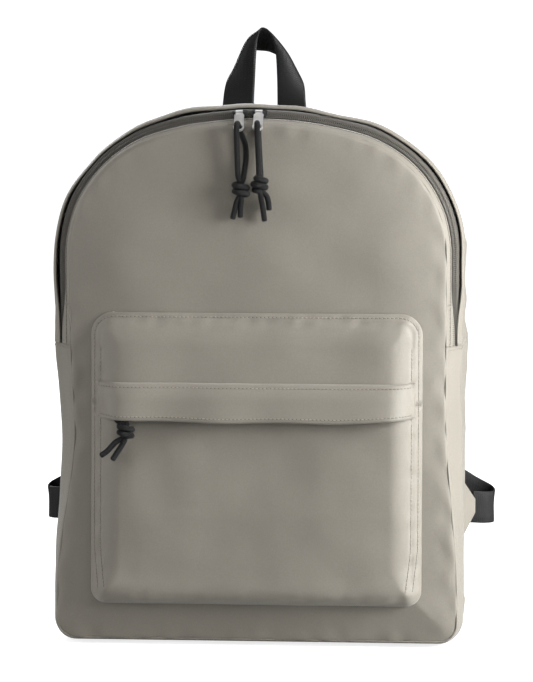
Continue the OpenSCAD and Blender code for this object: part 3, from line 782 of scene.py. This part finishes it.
def placket_points(cols=150, rows=16):
    """The strip over the pocket's zip: sewn on top, standing off the zip at its loose edge."""
    u = np.linspace(-1, 1, cols)[:, None]
    v = np.linspace(0, 1, rows)[None]
    x = u * (PA - 0.0050) + 0 * v
    low = PL_LOW - 0.0008 + 0.0022 * np.abs(u) ** 3 + 0.0004 * np.sin(u * 9)
    z = PL_TOP + 0.0008 + (low - PL_TOP - 0.0008) * v
    xe = np.clip(x, -(PA - 0.0075), PA - 0.0075)
    y = pocket_y(xe, z)
    y0 = pocket_y(xe[:, :1], z[:, :1] * 0 + PL_TOP)
    y = np.minimum(y, y0 + 0.0005)
    p = np.stack([x, z], -1)
    stand = 0.0007 + 0.0038 * ease(v / 0.45) + 0.0044 * v ** 1.2
    stand = stand + 0.0006 * v * waves(p * [1, 0.2], 0.06, 41)
    drop = np.abs(u) ** 18 * (stand - 0.0008)
    return np.stack([x, y - stand + drop, z], -1)


# ---------------- build: bag

def strip_edge(i):
    """The front strip's edge at the zip, in metres behind the front seam."""
    z = np.interp(i, np.arange(N), OUT[:, 1])
    return 0.0066 + 0.0056 * closing(z)


def to_middle(edge, c, rr):
    """Rings of points that shrink from an edge towards the point c; rr is 0 at the edge."""
    return c + (edge[:, None] - c) * rr[None, :, None]


COIL_PITCH, COIL_WIRE = 0.00145, 0.00062


def coil_turns(length):
    """Places from 0 to 1 along a zip's coil, and how far it has turned there."""
    turns = int(length / COIL_PITCH)
    s = np.linspace(0, 1, turns * 8)
    return s, s * turns * 2 * np.pi


def build_front():
    """The front panel, in rings from the seam to the middle, crossing the fold."""
    rr = 1 - (1 - np.linspace(0.0, 1, 96)) ** 0.9 * 0.988
    xz = to_middle(SEAM, np.array([0.0, 0.155]), rr)
    x, z = xz[..., 0], xz[..., 1]
    p = np.stack([x, front_y(x, z), z], -1)
    front = shell("front_panel", p, CLOTH, FACES, None, slot="canvas", closed=True, flip=True)
    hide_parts("front_panel_lower", "front_panel_upper")
    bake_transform(front)


def build_sides():
    """Sides and bottom, and the short closed gussets at the zip's ends."""
    i = np.arange(IL, IR + N + 1)
    w = np.concatenate([np.linspace(0, 0.06, 6)[:-1], np.linspace(0.06, 1, 40)])
    p = gusset_point(i[:, None] + 0 * w[None], w=w[None] + 0 * i[:, None])
    shell("side_shell", p, CLOTH, FACES, "bag",
          ("side_panel_left", "side_panel_right", "bottom_panel"), "canvas", flip=True)
    for side, (a, b) in (("right", (IR, FR)), ("left", (FL, IL))):
        i = np.linspace(a, b, 16)
        d = strip_edge(i)[:, None] * np.linspace(0, 1, 6)
        p = gusset_point(i[:, None] + 0 * d, d=d)
        shell("zip_end_front_" + side, p, CLOTH, FACES, "bag",
              ("zip_end_gussets",) if side == "right" else (), "canvas", flip=True)


def build_gussets():
    """The rear gusset over the arch, and the front strip on the flap."""
    i = np.arange(IR, IL + 1)
    full = 2 * BACK - OUT[i % N][:, 1] * LEAN
    w = np.concatenate([np.linspace(0, 0.03, 4)[:-1], np.linspace(0.03, 1, 34)])
    d0 = 0.0184 - 0.0056 * closing(OUT[i % N][:, 1])[:, None]
    d = d0 + (full[:, None] - d0) * w[None]
    hood = 0.0016 * np.exp(-((d - d0) / 0.010) ** 2)
    p = gusset_point(i[:, None] + 0 * w, d=d, out=hood)
    shell("rear_gusset", p, CLOTH, FACES, "bag", ("zip_gusset_rear",), "canvas", flip=True)

    i = np.arange(FR, FL + 1)
    d = strip_edge(i)[:, None] * np.linspace(0, 1, 7)
    p = gusset_point(i[:, None] + 0 * d, d=d)
    shell("front_strip", p, CLOTH, FACES, "front_flap", ("zip_strip_front",), "canvas", flip=True)


def build_zip():
    """Zip tapes 2 mm down in the slot, and a nylon coil along each tape's edge."""
    for name, body, a, b, d0, d1, nodes in (
            ("tape_front", "front_flap", FR, FL, 0.0046, 0.0121, ("zip_tape_front",)),
            ("tape_rear", "bag", IR, IL, 0.0129, 0.0205, ("zip_tape_rear",)),
            ("tape_end_right", "bag", IR, FR, 0.0046, 0.0121, ()),
            ("tape_end_left", "bag", FL, IL, 0.0046, 0.0121, ())):
        i = np.linspace(a, b, max(int(b - a) + 1, 8))
        d = np.linspace(d0, d1, 6)
        p = gusset_point(i[:, None] + 0 * d, d=d[None] + 0 * i[:, None], out=-0.0021, wrinkle=0.3)
        shell(name, p, 0.0007, tape_cloth_shaded, body, nodes, "lining", flip=True)

    for name, body, a, b, d0, nodes in (
            ("coil_front", "front_flap", FR, FL, 0.0105, ("zip_coil_front",)),
            ("coil_rear", "bag", IR, IL, 0.0145, ("zip_coil_rear",)),
            ("coil_end_right", "bag", IR, FR, 0.0105, ()),
            ("coil_end_left", "bag", FL, IL, 0.0105, ())):
        s, ang = coil_turns((b - a) / N * PERIM)
        p = gusset_point(a + (b - a) * s, d=d0 + 0.0017 * np.cos(ang),
                         out=-0.0009 + 0.0008 * np.sin(ang), wrinkle=0.3)
        tube(name, p, COIL_WIRE, teeth, body, sides=5, nodes=nodes, slot="zip_teeth")


def build_back():
    """The back: a padded panel, a lining, and the tape over the seam inside."""
    rr = 1 - (1 - np.linspace(0, 1, 60)) ** 0.9 * 0.985
    c = BACK_MIDDLE
    edge = gusset_point(np.arange(N), w=np.ones(N))[:, [0, 2]]
    xz = to_middle(edge, c, rr)
    e = (1 - rr)[None] * np.linalg.norm(edge - c, axis=1)[:, None]
    pil = 0.0042 * ease(e / 0.05) + 0.0006 * waves(xz, 0.08, 51) * ease(e / 0.04)
    p = np.stack([xz[..., 0], BACK - 0.0004 + pil, np.maximum(xz[..., 1], 0.0006)], -1)
    shell("back_shell", p, CLOTH, FACES, "bag", ("back_panel",), "canvas", closed=True, flip=True)
    edge = edge + unit(c - edge) * 0.006
    xz = to_middle(edge, c, rr)
    y = BACK - 0.0095 - 0.0014 * waves(xz, 0.11, 52) * ease(e / 0.03)
    p = np.stack([xz[..., 0], np.minimum(y, BACK - 0.0075), xz[..., 1]], -1)
    shell("back_lining_soft", p, 0.0008, canvas_in, "bag", ("back_lining",), "lining", closed=True)

    ring = []
    for ins, y in ((0.0016, 0.0567), (0.0016, 0.0475), (0.0036, 0.0475), (0.0036, 0.0567)):
        o = gusset_point(np.arange(N), d=y + BACK - OUT[:, 1] * LEAN, out=-ins)[:, [0, 2]]
        ring.append(np.stack([o[:, 0], y + 0 * o[:, 0], o[:, 1]], 1))
    rings("seam_tape", np.stack(ring[::-1], 1), tape_cloth_shaded, "bag", ("seam_binding",), "lining",
          loop=True)


BACK_MIDDLE = np.array([0, 0.19])


def build_pad():
    """Foam in the back panel, swollen by a short cloth simulation."""
    o = gusset_point(np.arange(0, N, 8), w=np.ones(N // 8), out=-0.015)[:, [0, 2]]
    rr = np.linspace(0.05, 1, 26)
    xz = to_middle(o, BACK_MIDDLE, rr)
    p = np.stack([xz[..., 0], BACK - 0.0030 + 0 * xz[..., 0], xz[..., 1]], -1)
    ob = shell("back_pad", p, 0.0030, foam_mat, "bag", ("back_foam",), "foam", closed=True, flip=True)
    edge = np.arange(len(ob.data.vertices)) % len(rr) > len(rr) - 4
    swell(ob, np.flatnonzero(edge), 4.0, 0.002)


def on_gusset(i, d, out):
    """Points on the bag's side, and the way it faces there."""
    p = gusset_point(i, d=d, out=out)
    return p, unit(gusset_point(i, d=d, out=out + 0.001) - p)


def line_on_gusset(a, b, d):
    i = np.linspace(a, b, max(int(abs(b - a)) * 2, 8))
    return on_gusset(i, d + 0 * i, 0.0002)


def build_seams():
    """Stitching beside the zip, and down the seams at its two ends."""
    p, n = line_on_gusset(FR, FL, 0.0050)
    stitches("stitch_strip", p, n, thread, "front_flap")
    p, n = line_on_gusset(IR, IL, 0.0208)
    stitches("stitch_rear", p, n, thread, "bag")
    lines = [line_on_gusset(IR - 0.5, FR, 0.0050), line_on_gusset(FL, IL + 0.5, 0.0050)]
    stitches("stitch_ends", [x[0] for x in lines], [x[1] for x in lines], thread, "bag")
    paths, norms = [], []
    for i0 in (IR, IL):
        full = 2 * BACK - OUT[i0 % N][1] * LEAN
        d = np.linspace(0.002, full - 0.003, 60)
        i = i0 + (-1.2 if i0 == IR else 1.2) + 0 * d
        p, n = on_gusset(i, d, 0.0001)
        paths.append(p)
        norms.append(n)
    stitches("stitch_side", paths, norms, thread, "bag")


def build_pocket():
    """The pocket's two pieces of cloth, above and below its zip, and the placket."""
    p = pocket_panel(0.1868, PZ1, 34)
    shell("pocket_upper", p, 0.0010, FACES, "bag", ("pocket_upper_panel",), "canvas")
    p = pocket_panel(PZ0, 0.1752, 74)
    shell("pocket_lower", p, 0.0010, FACES, "bag", ("pocket_lower_panel",), "canvas")
    p = placket_points()
    shell("placket_cloth", p, 0.0014, FACES, "placket", ("pocket_placket",), "canvas",
          flip=True)


def build_pocket_zip():
    """The zip under the placket: two tapes, and a coil on each."""
    x = np.linspace(-ZIP_HALF, ZIP_HALF, 80)
    for name, z0, z1, nodes in (
            ("pocket_tape_low", ZIP_Z - 0.0125, ZIP_Z - 0.0034, ("pocket_zip_tapes",)),
            ("pocket_tape_top", ZIP_Z + 0.0034, ZIP_Z + 0.0125, ())):
        z = np.linspace(z0, z1, 5)
        xx, zz = np.meshgrid(x, z, indexing="ij")
        y = pocket_y(xx, zz) + 0.0018
        shell(name, np.stack([xx, y, zz], -1), 0.0006, tape_cloth_shaded, "bag", nodes, "lining")
    s, ang = coil_turns(2 * ZIP_HALF)
    xx = -ZIP_HALF + 2 * ZIP_HALF * s
    for name, z0, nodes in (("pocket_coil_low", ZIP_Z - 0.0040, ("pocket_zip_coils",)),
                            ("pocket_coil_top", ZIP_Z + 0.0040, ())):
        y = pocket_y(xx, np.full_like(xx, z0)) + 0.0009 - 0.0008 * np.sin(ang)
        path = np.stack([xx, y, z0 + 0.0015 * np.cos(ang)], 1)
        tube(name, path, COIL_WIRE, teeth, "bag", sides=5, nodes=nodes, slot="zip_teeth")


def stitch_pocket():
    """Rows of stitching round the pocket, then along the placket's seam and hem."""
    paths, norms = [], []
    for ins in (0.0028, 0.0078):
        a, z1 = PA - ins, PZ1 - 0.0030
        rt = PRT - ins
        over = np.concatenate([[[a, 0.1722]], arc(a - rt, z1 - rt, rt, 0, 90, 16),
                               arc(-(a - rt), z1 - rt, rt, 90, 180, 16), [[-a, 0.1722]]])
        lines = [np.array([[sg * (a - 0.0035), PZ0 + 0.012], [sg * a, 0.075], [sg * a, 0.1722]])
                 for sg in (1, -1)]
        if ins < 0.005:
            lines.append(over)
        else:
            lines += [np.array([[sg * a, 0.1722], [sg * a, PZ1 - 0.024]]) for sg in (1, -1)]
        for line in lines:
            x, z = every(line, 0.001).T
            paths.append(np.stack([x, pocket_y(x, z) - 0.0001, z], 1))
            e = 0.0012
            gx = (pocket_y(x + e, z) - pocket_y(x - e, z)) / (2 * e)
            gz = (pocket_y(x, z + e) - pocket_y(x, z - e)) / (2 * e)
            norms.append(unit(np.stack([gx, -np.ones_like(gx), gz], 1)))
    stitches("stitch_pocket", paths, norms, thread, "bag")

    g = placket_points(cols=240, rows=41)
    nrm = -grid_normals(g, False)
    rows = [5, 36]
    stitches("stitch_placket", [g[2:-2, r] + nrm[2:-2, r] * 0.0001 for r in rows],
             [nrm[2:-2, r] for r in rows], thread, "placket")


# ---------------- build: handle and straps

WEB_W, WEB_T = 0.0248, 0.0015          # the webbing's width and thickness
HANDLE_X, HANDLE_Y, HANDLE_Z = -0.003, 0.0624, 0.397
HANDLE_END_Y = 0.0643                  # the middle of the webbing's sewn ends
# the front edge, middle and rear edge of the handle's web, in mm from its foot
H_FRONT = [[-7.8, 0, -9], [-7.8, 0, 0], [-6.8, -1, 20], [-5.8, -2, 38], [-4.4, -3.4, 50], [-1, -4, 56.5],
           [5, -3.6, 52], [8.6, -2, 41], [9.8, -1, 22], [10.2, 0, 0], [10.2, 0, -9]]
H_MID = [[-19.7, 0, -9], [-19.7, 0, 0], [-18.6, 1, 19], [-16.8, 0.5, 36], [-11.5, 1.5, 48.4], [-2, 4, 50.5],
         [7.5, 3, 47.5], [17, 1.5, 37], [20.6, 1, 20.5], [21.2, 0, 0], [21.2, 0, -9]]
H_REAR = [[-31.6, 0, -9], [-31.6, 0, 0], [-28.6, 4.5, 15], [-20.4, 10, 29], [-11.5, 13, 38.6],
          [-2.5, 13, 39.5], [6, 13, 37.6], [19, 12, 29.4], [28.6, 5.5, 15], [32, 0, 0], [32, 0, -9]]


def build_handle():
    """The handle's web, curved across through three edges, and its two sewn ends."""
    foot = [HANDLE_X, HANDLE_Y, HANDLE_Z]
    f, m, r = (spline(q, 10) * MM + foot for q in (H_FRONT, H_MID, H_REAR))
    q = np.linspace(0, 1, 13)[None, :, None]
    a, b, c = f[:, None], m[:, None], r[:, None]
    g = a * (1 - q) * (1 - 2 * q) + b * 4 * q * (1 - q) + c * q * (2 * q - 1)
    web = shell("handle_web", g, WEB_T, black_web, None, ("grab_handle",), "webbing", flip=True)
    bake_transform(web)
    for s, x in (("l", HANDLE_X - 0.0203), ("r", HANDLE_X + 0.0227)):
        z = np.linspace(0.3890, 0.3705, 14)
        path = np.stack([x + 0 * z, HANDLE_END_Y + 0 * z, z], 1)
        ribbon("handle_end_" + s, path, [1, 0, 0], WEB_W, WEB_T, black_web, "bag",
               ("handle_ends",) if s == "l" else (), "webbing")
        # a sewn box with one diagonal
        r, low, top = 0.0095, 0.3740, 0.3930
        y = HANDLE_END_Y + 0.0009
        box = np.array([[x - r, y, low], [x + r, y, low], [x + r, y, top], [x - r, y, top],
                        [x - r, y, low], [x + r, y, top]])
        stitches("stitch_handle_" + s, every(box, 0.0008), [0, 1, 0], black_thread, "bag")


YOKE_HALF, YOKE_FOOT = 0.075, 0.340


def build_yoke():
    """The patch that the handle and straps are sewn to."""
    u = np.linspace(-YOKE_HALF, YOKE_HALF, 60)
    xx, q = np.meshgrid(u, np.linspace(0, 1, 20), indexing="ij")
    zz = yoke_z(xx, q)
    lim = np.minimum(YOKE_HALF - np.abs(xx), 0.050 * np.minimum(q, 1 - q))
    y = yoke_y(xx, zz, q, lim)
    shell("yoke", np.stack([xx, y, zz], -1), 0.0012, canvas, "bag", ("strap_yoke",), "canvas")
    box = np.array([[-0.072, 0.06], [0.072, 0.06], [0.072, 0.94], [-0.072, 0.94], [-0.072, 0.06]])
    x, q = (every(box * [1, 0.05], 0.001) / [1, 0.05]).T
    z = yoke_z(x, q)
    path = np.stack([x, yoke_y(x, z, q, 0.003) + 0.0001, z], 1)
    stitches("stitch_yoke", path, [0, 1, 0], thread, "bag")


def yoke_z(x, q):
    """Height on the yoke: q is 0 at its foot, 1 at its top edge, which follows the back seam."""
    r = TOP_R - 0.0125
    top = HEIGHT - TOP_R + np.sqrt(r ** 2 - x ** 2)
    return YOKE_FOOT + q * (top - YOKE_FOOT)


def yoke_y(x, z, q, lim):
    """The yoke's surface; lim is the distance to its nearest edge."""
    y = 0.0645 + 0.0009 * ease(lim / 0.006) + 0.0004 * waves(np.stack([x, z], -1), 0.04, 61)
    return y - 0.003 * ease((q - 0.75) / 0.4)


# shoulder straps, in mm: the right one's middle line and its width along it
S_ROUTE = [[37, 69, 382.5], [40, 93, 377], [48, 123, 347], [60, 138, 294], [76, 134, 236],
           [92, 116, 190], [104, 99, 162]]
S_WIDTH = [24, 50, 56, 56, 52, 42, 30]
S_LINE = spline(S_ROUTE, 14)
S_HALF = spline([[w, 0, 0] for w in S_WIDTH], 14)[:, 0] / 2
S_RUN = distances(S_LINE)
S_SIDE = unit(np.array([1.0, 0, 0]) - tangents(S_LINE) * tangents(S_LINE)[:, :1])
S_OUT = np.cross(S_SIDE, tangents(S_LINE))
EDGE = 8.5                             # the binding's width
# the ladder lock: its axes and its top bar
ALONG = unit(np.array([10.0, -22, -24]))
SIDE = unit(np.array([1.0, 0, 0]) - ALONG[0] * ALONG)
OUTW = np.cross(SIDE, ALONG)
LOCK = np.array([104.0, 99, 162]) + ALONG * 6


def mirror(p, side):
    return p * [side, 1, 1]


def on_lock(x, y, z):
    return LOCK + SIDE * x + ALONG * y + OUTW * z


def strap_half_thickness(q):
    """From 0 in the middle to 1 at the sewn edge."""
    return 1.5 + 2.7 * np.cos(np.clip(q, 0, 1) * np.pi / 2) ** 0.55


def build_strap(side, tag):
    """The strap's padded body, swollen by a short cloth simulation."""
    inner = S_HALF - EDGE * 0.72
    reach = S_HALF - 0.8
    top, bottom = [], []
    us = np.concatenate([[-1.0, -0.995], np.linspace(-0.98, 0.98, 21), [0.995, 1.0]])
    for u in us:
        x = u * reach
        h = np.where(np.abs(x) < inner, strap_half_thickness(np.abs(x) / inner), 1.5)
        soft = 0.35 * waves(np.stack([x, S_RUN], 1), 34, 71) * (h > 1.6)
        top.append(S_LINE + S_SIDE * x[:, None] + S_OUT * (h + soft)[:, None])
        bottom.append(S_LINE + S_SIDE * x[:, None] - S_OUT * (h * 0.9)[:, None])
    ring = np.concatenate([np.stack(top, 1), np.stack(bottom, 1)[:, ::-1]], 1) * MM
    ring = mirror(ring, side)
    if side < 0:
        ring = ring[:, ::-1]
    m = ring.shape[1]
    around = [0 if (j < len(us)) == (side > 0) else 1 for j in range(m)]
    picks = around * (len(S_LINE) - 1) + [0, 0]
    ob = rings("strap_" + tag, ring, [canvas, mesh_cloth], "strap_" + tag,
               (f"strap_face_{tag}", f"strap_foam_{tag}", f"strap_pad_{tag}"), "canvas",
               picks=picks)
    across = np.abs(np.concatenate([us, us[::-1]]))[None] * reach[:, None]
    held = across > (S_HALF - EDGE)[:, None]
    held[[0, 1, -2, -1]] = True
    swell(ob, np.flatnonzero(held.ravel()), 4.0, 0.0022)


def build_binding(side, tag):
    """Webbing folded round both edges of a strap, and its stitching."""
    fold = [(0, 0), (0, 1.9), (-0.5, 2.5), (-EDGE, 2.6), (-EDGE, 1.6), (-1, 1.5), (-1, -1.5),
            (-EDGE, -1.5), (-EDGE, -2.4), (-0.5, -2.4), (0, -1.9)]
    round_fold = np.array([0, 2, 3, 11, 12, 20, 22, 30, 31, 39, 41.0])
    for k, sg in (("in", -1), ("out", 1)):
        pts = [S_LINE + S_SIDE * (sg * (S_HALF + a))[:, None] + S_OUT * b for a, b in fold]
        r = mirror(np.stack(pts, 1) * MM, side)
        if sg * side > 0:
            r = r[:, ::-1]
        rings(f"binding_{k}_{tag}", r, black_web, "strap_" + tag,
              (f"strap_binding_{tag}",) if sg > 0 else (), "webbing",
              uv=ring_uv(round_fold * MM, S_RUN * MM))
        seam = S_LINE + S_SIDE * (sg * (S_HALF - EDGE + 1.6))[:, None] + S_OUT * 2.65
        stitches(f"stitch_binding_{k}_{tag}", mirror(seam * MM, side), mirror(S_OUT, side),
                 black_thread, "strap_" + tag)


def build_webbing(side, tag):
    """The strap's ends: its root at the yoke, and the webbing at the ladder lock."""
    stub = spline([[37, 63.5, 378], [37, 64.5, 382.5], [37, 70.5, 382.4]], 5) * MM
    ribbon("strap_root_" + tag, mirror(stub, side), [1, 0, 0], 0.0235, 0.0062, canvas, "bag")

    # loop round the lock's top bar
    path = [on_lock(0, -12, 2.0), on_lock(0, -6, 2.2)]
    for a in np.radians(np.linspace(90, -90, 13)):
        path.append(on_lock(0, 2.8 * math.cos(a), 2.8 * math.sin(a)))
    path += [on_lock(0, -6, -2.2), on_lock(0, -12, -2.0)]
    path = mirror(np.array(path) * MM, side)
    ribbon("lock_loop_" + tag, path, mirror(SIDE, side), WEB_W, WEB_T, black_web, "strap_" + tag,
           (f"ladder_loop_{tag}",), "webbing")

    # lower webbing, from the lock round to the tab
    route = np.array([on_lock(0, 16, -4.6), on_lock(0, 27, -4.6), [130, 83, 114], [151, 93, 97],
                      [167, 95, 88], [173.5, 88, 84], [168, 80, 84], [157, 75, 85]])
    sides = np.array([SIDE, SIDE, [0.8, 0.1, 0.6], [0.35, 0.1, 0.94], [0.1, 0, 1], [0, 0, 1],
                      [0, 0, 1], [0, 0, 1]])
    path = mirror(spline(route, 12) * MM, side)
    sd = mirror(unit(spline(sides, 12)), side)
    ribbon("lower_web_" + tag, path, sd, WEB_W, WEB_T, black_web, "strap_" + tag,
           (f"strap_webbing_{tag}",), "webbing")

    # free end
    route = np.array([on_lock(0, 16.8, -1.4), on_lock(0, 15.6, 2), on_lock(0, 19, 4.2),
                      on_lock(0, 26, 5), [117, 89, 126], [119, 92, 106], [122, 92, 84], [124, 90, 66]])
    path = mirror(spline(route, 10) * MM, side)
    ribbon("tail_" + tag, path, mirror(SIDE, side), 0.024, WEB_T, black_web, "lock_" + tag,
           (f"webbing_tail_{tag}",), "webbing")


def build_tab(side, tag):
    """A folded triangle of canvas in the back seam, with the webbing sewn into its tip."""
    foot = np.array([0.146, 0.0606, 0.086])
    tip = np.array([0.1560, 0.0760, 0.086])
    u = np.linspace(0, 1, 12)[:, None, None]
    v = np.linspace(-1, 1, 15)[None, :, None]
    half = 0.023 * (1 - u) + 0.0052 * u
    g = mirror(foot + (tip - foot) * u + v * half * np.array([0, 0, 1.0]), side)
    n = unit(np.cross(tip - foot, [0, 0, 1.0]))
    n = mirror(n, side)
    g = g + n * 0.0016
    shell("tab_" + tag, g, 0.0032, canvas, "bag", ("strap_tab_" + tag,), "canvas", flip=side > 0)
    line = np.concatenate([g[1:-1, 1], g[-2, 1:-1], g[1:-1, -2][::-1]])
    stitches("stitch_tab_" + tag, line + n * 0.0001 * side, n, thread, "bag")


# ---------------- build: cords

# each cord's two halves, in mm from the ring they hang from, in the leaning front's frame
CORDS = {
    "main_left_a": [[0, 0, 0], [-0.3, -1, 2], [-0.7, -3.2, 3], [-1, -5.7, 1.7], [-1.2, -6.8, -2],
                    [-1.3, -7.2, -7], [-1.4, -8.2, -16], [-1.4, -10, -28], [-1.4, -11.8, -39],
                    [-1.8, -12, -48], [-4.4, -11, -58], [-7, -10.2, -67]],
    "main_left_b": [[0, 0, 0], [0.3, 0.6, -1.2], [0.9, 0.2, -3.6], [2.4, -1.1, -7], [4.6, -3.4, -14],
                    [4.6, -6.2, -24], [3, -9.4, -34], [2.2, -12, -42], [1, -12.2, -50],
                    [-0.6, -10.8, -59], [-1.2, -10, -66]],
    "main_right_a": [[0, 0, 0], [-0.2, -1, 2], [-0.2, -3.2, 3], [0, -5.7, 1.7], [0.2, -6.8, -2],
                     [0.5, -7.6, -8], [1.1, -9, -18], [1.8, -11, -29], [2, -12.8, -39],
                     [2.4, -12.6, -46], [4.6, -11.4, -57], [6.2, -10.4, -69]],
    "main_right_b": [[0, 0, 0], [0.3, 0.6, -1.2], [0.6, 0.2, -3.6], [0.9, -1.1, -7], [1.4, -3.4, -14],
                     [2.2, -6, -24], [3, -8.8, -33], [4.4, -10.8, -40], [6.4, -11.2, -47],
                     [8.8, -10.2, -54], [9.4, -9.8, -61]],
    "pocket_a": [[0, 0, 0], [-2.4, -0.2, -0.5], [-3.3, -0.4, -3.5], [-1.4, -1.4, -7.5], [1.6, -2.6, -11],
                 [0.4, -2.8, -15.5], [-5, -2.4, -21], [-10, -1.8, -26.5], [-15, -1.2, -30]],
    "pocket_b": [[0, 0, 0], [2.4, -0.2, -0.5], [3.4, -0.4, -3.5], [4.8, -1.4, -7.5], [5.6, -2.6, -11],
                 [4.2, -3.2, -16], [1, -3, -22], [-3, -2.4, -28], [-6.2, -2, -33]],
}
KNOTS = {"main_left": [0.2, -12.4, -45.5], "main_right": [3, -12.2, -42],
         "pocket": [3.6, -2.6, -11.4]}
# where each ring is, in mm, how far it is rolled, in degrees, and its body
RINGS = {
    "main_left": ([-13.735, -45.714, 383.839], -2.977, "cord_left"),
    "main_right": ([0.193, -45.696, 384.195], 0.042, "cord_right"),
    "pocket": ([-98, -77.318, 174.054], 0.0, "cord_pocket")}
CORD_D = 0.0042


def knotted(route, knot, wrap, start):
    """The route with its stretch through the knot wound round the other half of the cord."""
    p = spline(route, 8)
    clear, half = 6.5, 5.4
    before = p[p[:, 2] > knot[2] + clear]
    after = p[p[:, 2] < knot[2] - clear]
    if wrap:
        turns = 2.4
        a = np.linspace(0, 1, 60)
        ang = start + a * 2 * np.pi * turns
        rad = 0.6 + 4.3 * ease(a * 9 / (np.pi / 2)) * ease((1 - a) * 9 / (np.pi / 2))
        rad = rad + 0.7 * np.sin(a * np.pi) * np.cos(ang - start - 1)
        x, y = knot[0] + rad * np.cos(ang), knot[1] + rad * np.sin(ang)
    else:
        a = np.linspace(0, 1, 6)
        x, y = knot[0] + 0.5 * np.sin(a * 6), knot[1] + 0 * a
    mid = np.stack([x, y, knot[2] + half - 2 * half * a], 1)
    q = np.concatenate([before, mid, after])
    for _ in range(3):
        q[1:-1] = 0.25 * q[:-2] + 0.5 * q[1:-1] + 0.25 * q[2:]
    length = distances(q)[-1]
    return points_at(q, np.linspace(0, length, int(length / 0.75)))


def build_cords():
    """Each cord hangs from its ring in two halves, one of them wound into the knot."""
    a = LEAN_ANGLE
    for key, (ring, roll, body) in RINGS.items():
        cr, sr = math.cos(math.radians(roll)), math.sin(math.radians(roll))
        start = 2.4 if key == "main_right" else 0.4
        for half in "ab":
            p = knotted(CORDS[f"{key}_{half}"], KNOTS[key], half == "a", start)
            x = p[:, 0] * cr + p[:, 2] * sr
            down = -p[:, 0] * sr + p[:, 2] * cr
            y = p[:, 1] * math.cos(a) + down * math.sin(a)
            z = down * math.cos(a) - p[:, 1] * math.sin(a)
            path = (np.stack([x, y, z], 1) + ring) * MM
            nodes = (f"{'main_cord_' + key[5:] if key != 'pocket' else 'pocket_cord'}_{half}",)
            if half == "a":
                nodes += ("pocket_knot" if key == "pocket" else "main_knot_" + key[5:],)
            ob, length = tube(f"cord_{key}_{half}", path, CORD_D, black_cord, body, sides=14,
                              nodes=nodes, slot="cord")


def dress_cad():
    """Materials for the hard parts, which show the CAD's own shapes."""
    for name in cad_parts:
        ob = bpy.data.objects.get(name)
        if ob is None or ob.type != "MESH":
            continue
        if "slider" in name:
            mat = gun
        elif "pull" in name:
            mat = nickel
        elif "ladder_lock" in name:
            mat = black_plastic
        else:
            mat = canvas_in
        ob.data.materials.clear()
        ob.data.materials.append(mat)


camera()
build_cords()
studio()
backdrop()
floor()
build_front()
build_sides()
build_gussets()
build_zip()
build_back()
build_pad()
build_seams()
build_pocket()
build_pocket_zip()
stitch_pocket()
build_handle()
build_yoke()
for sg, tg in ((1, "right"), (-1, "left")):
    build_strap(sg, tg)
    build_binding(sg, tg)
    build_webbing(sg, tg)
    build_tab(sg, tg)
dress_cad()
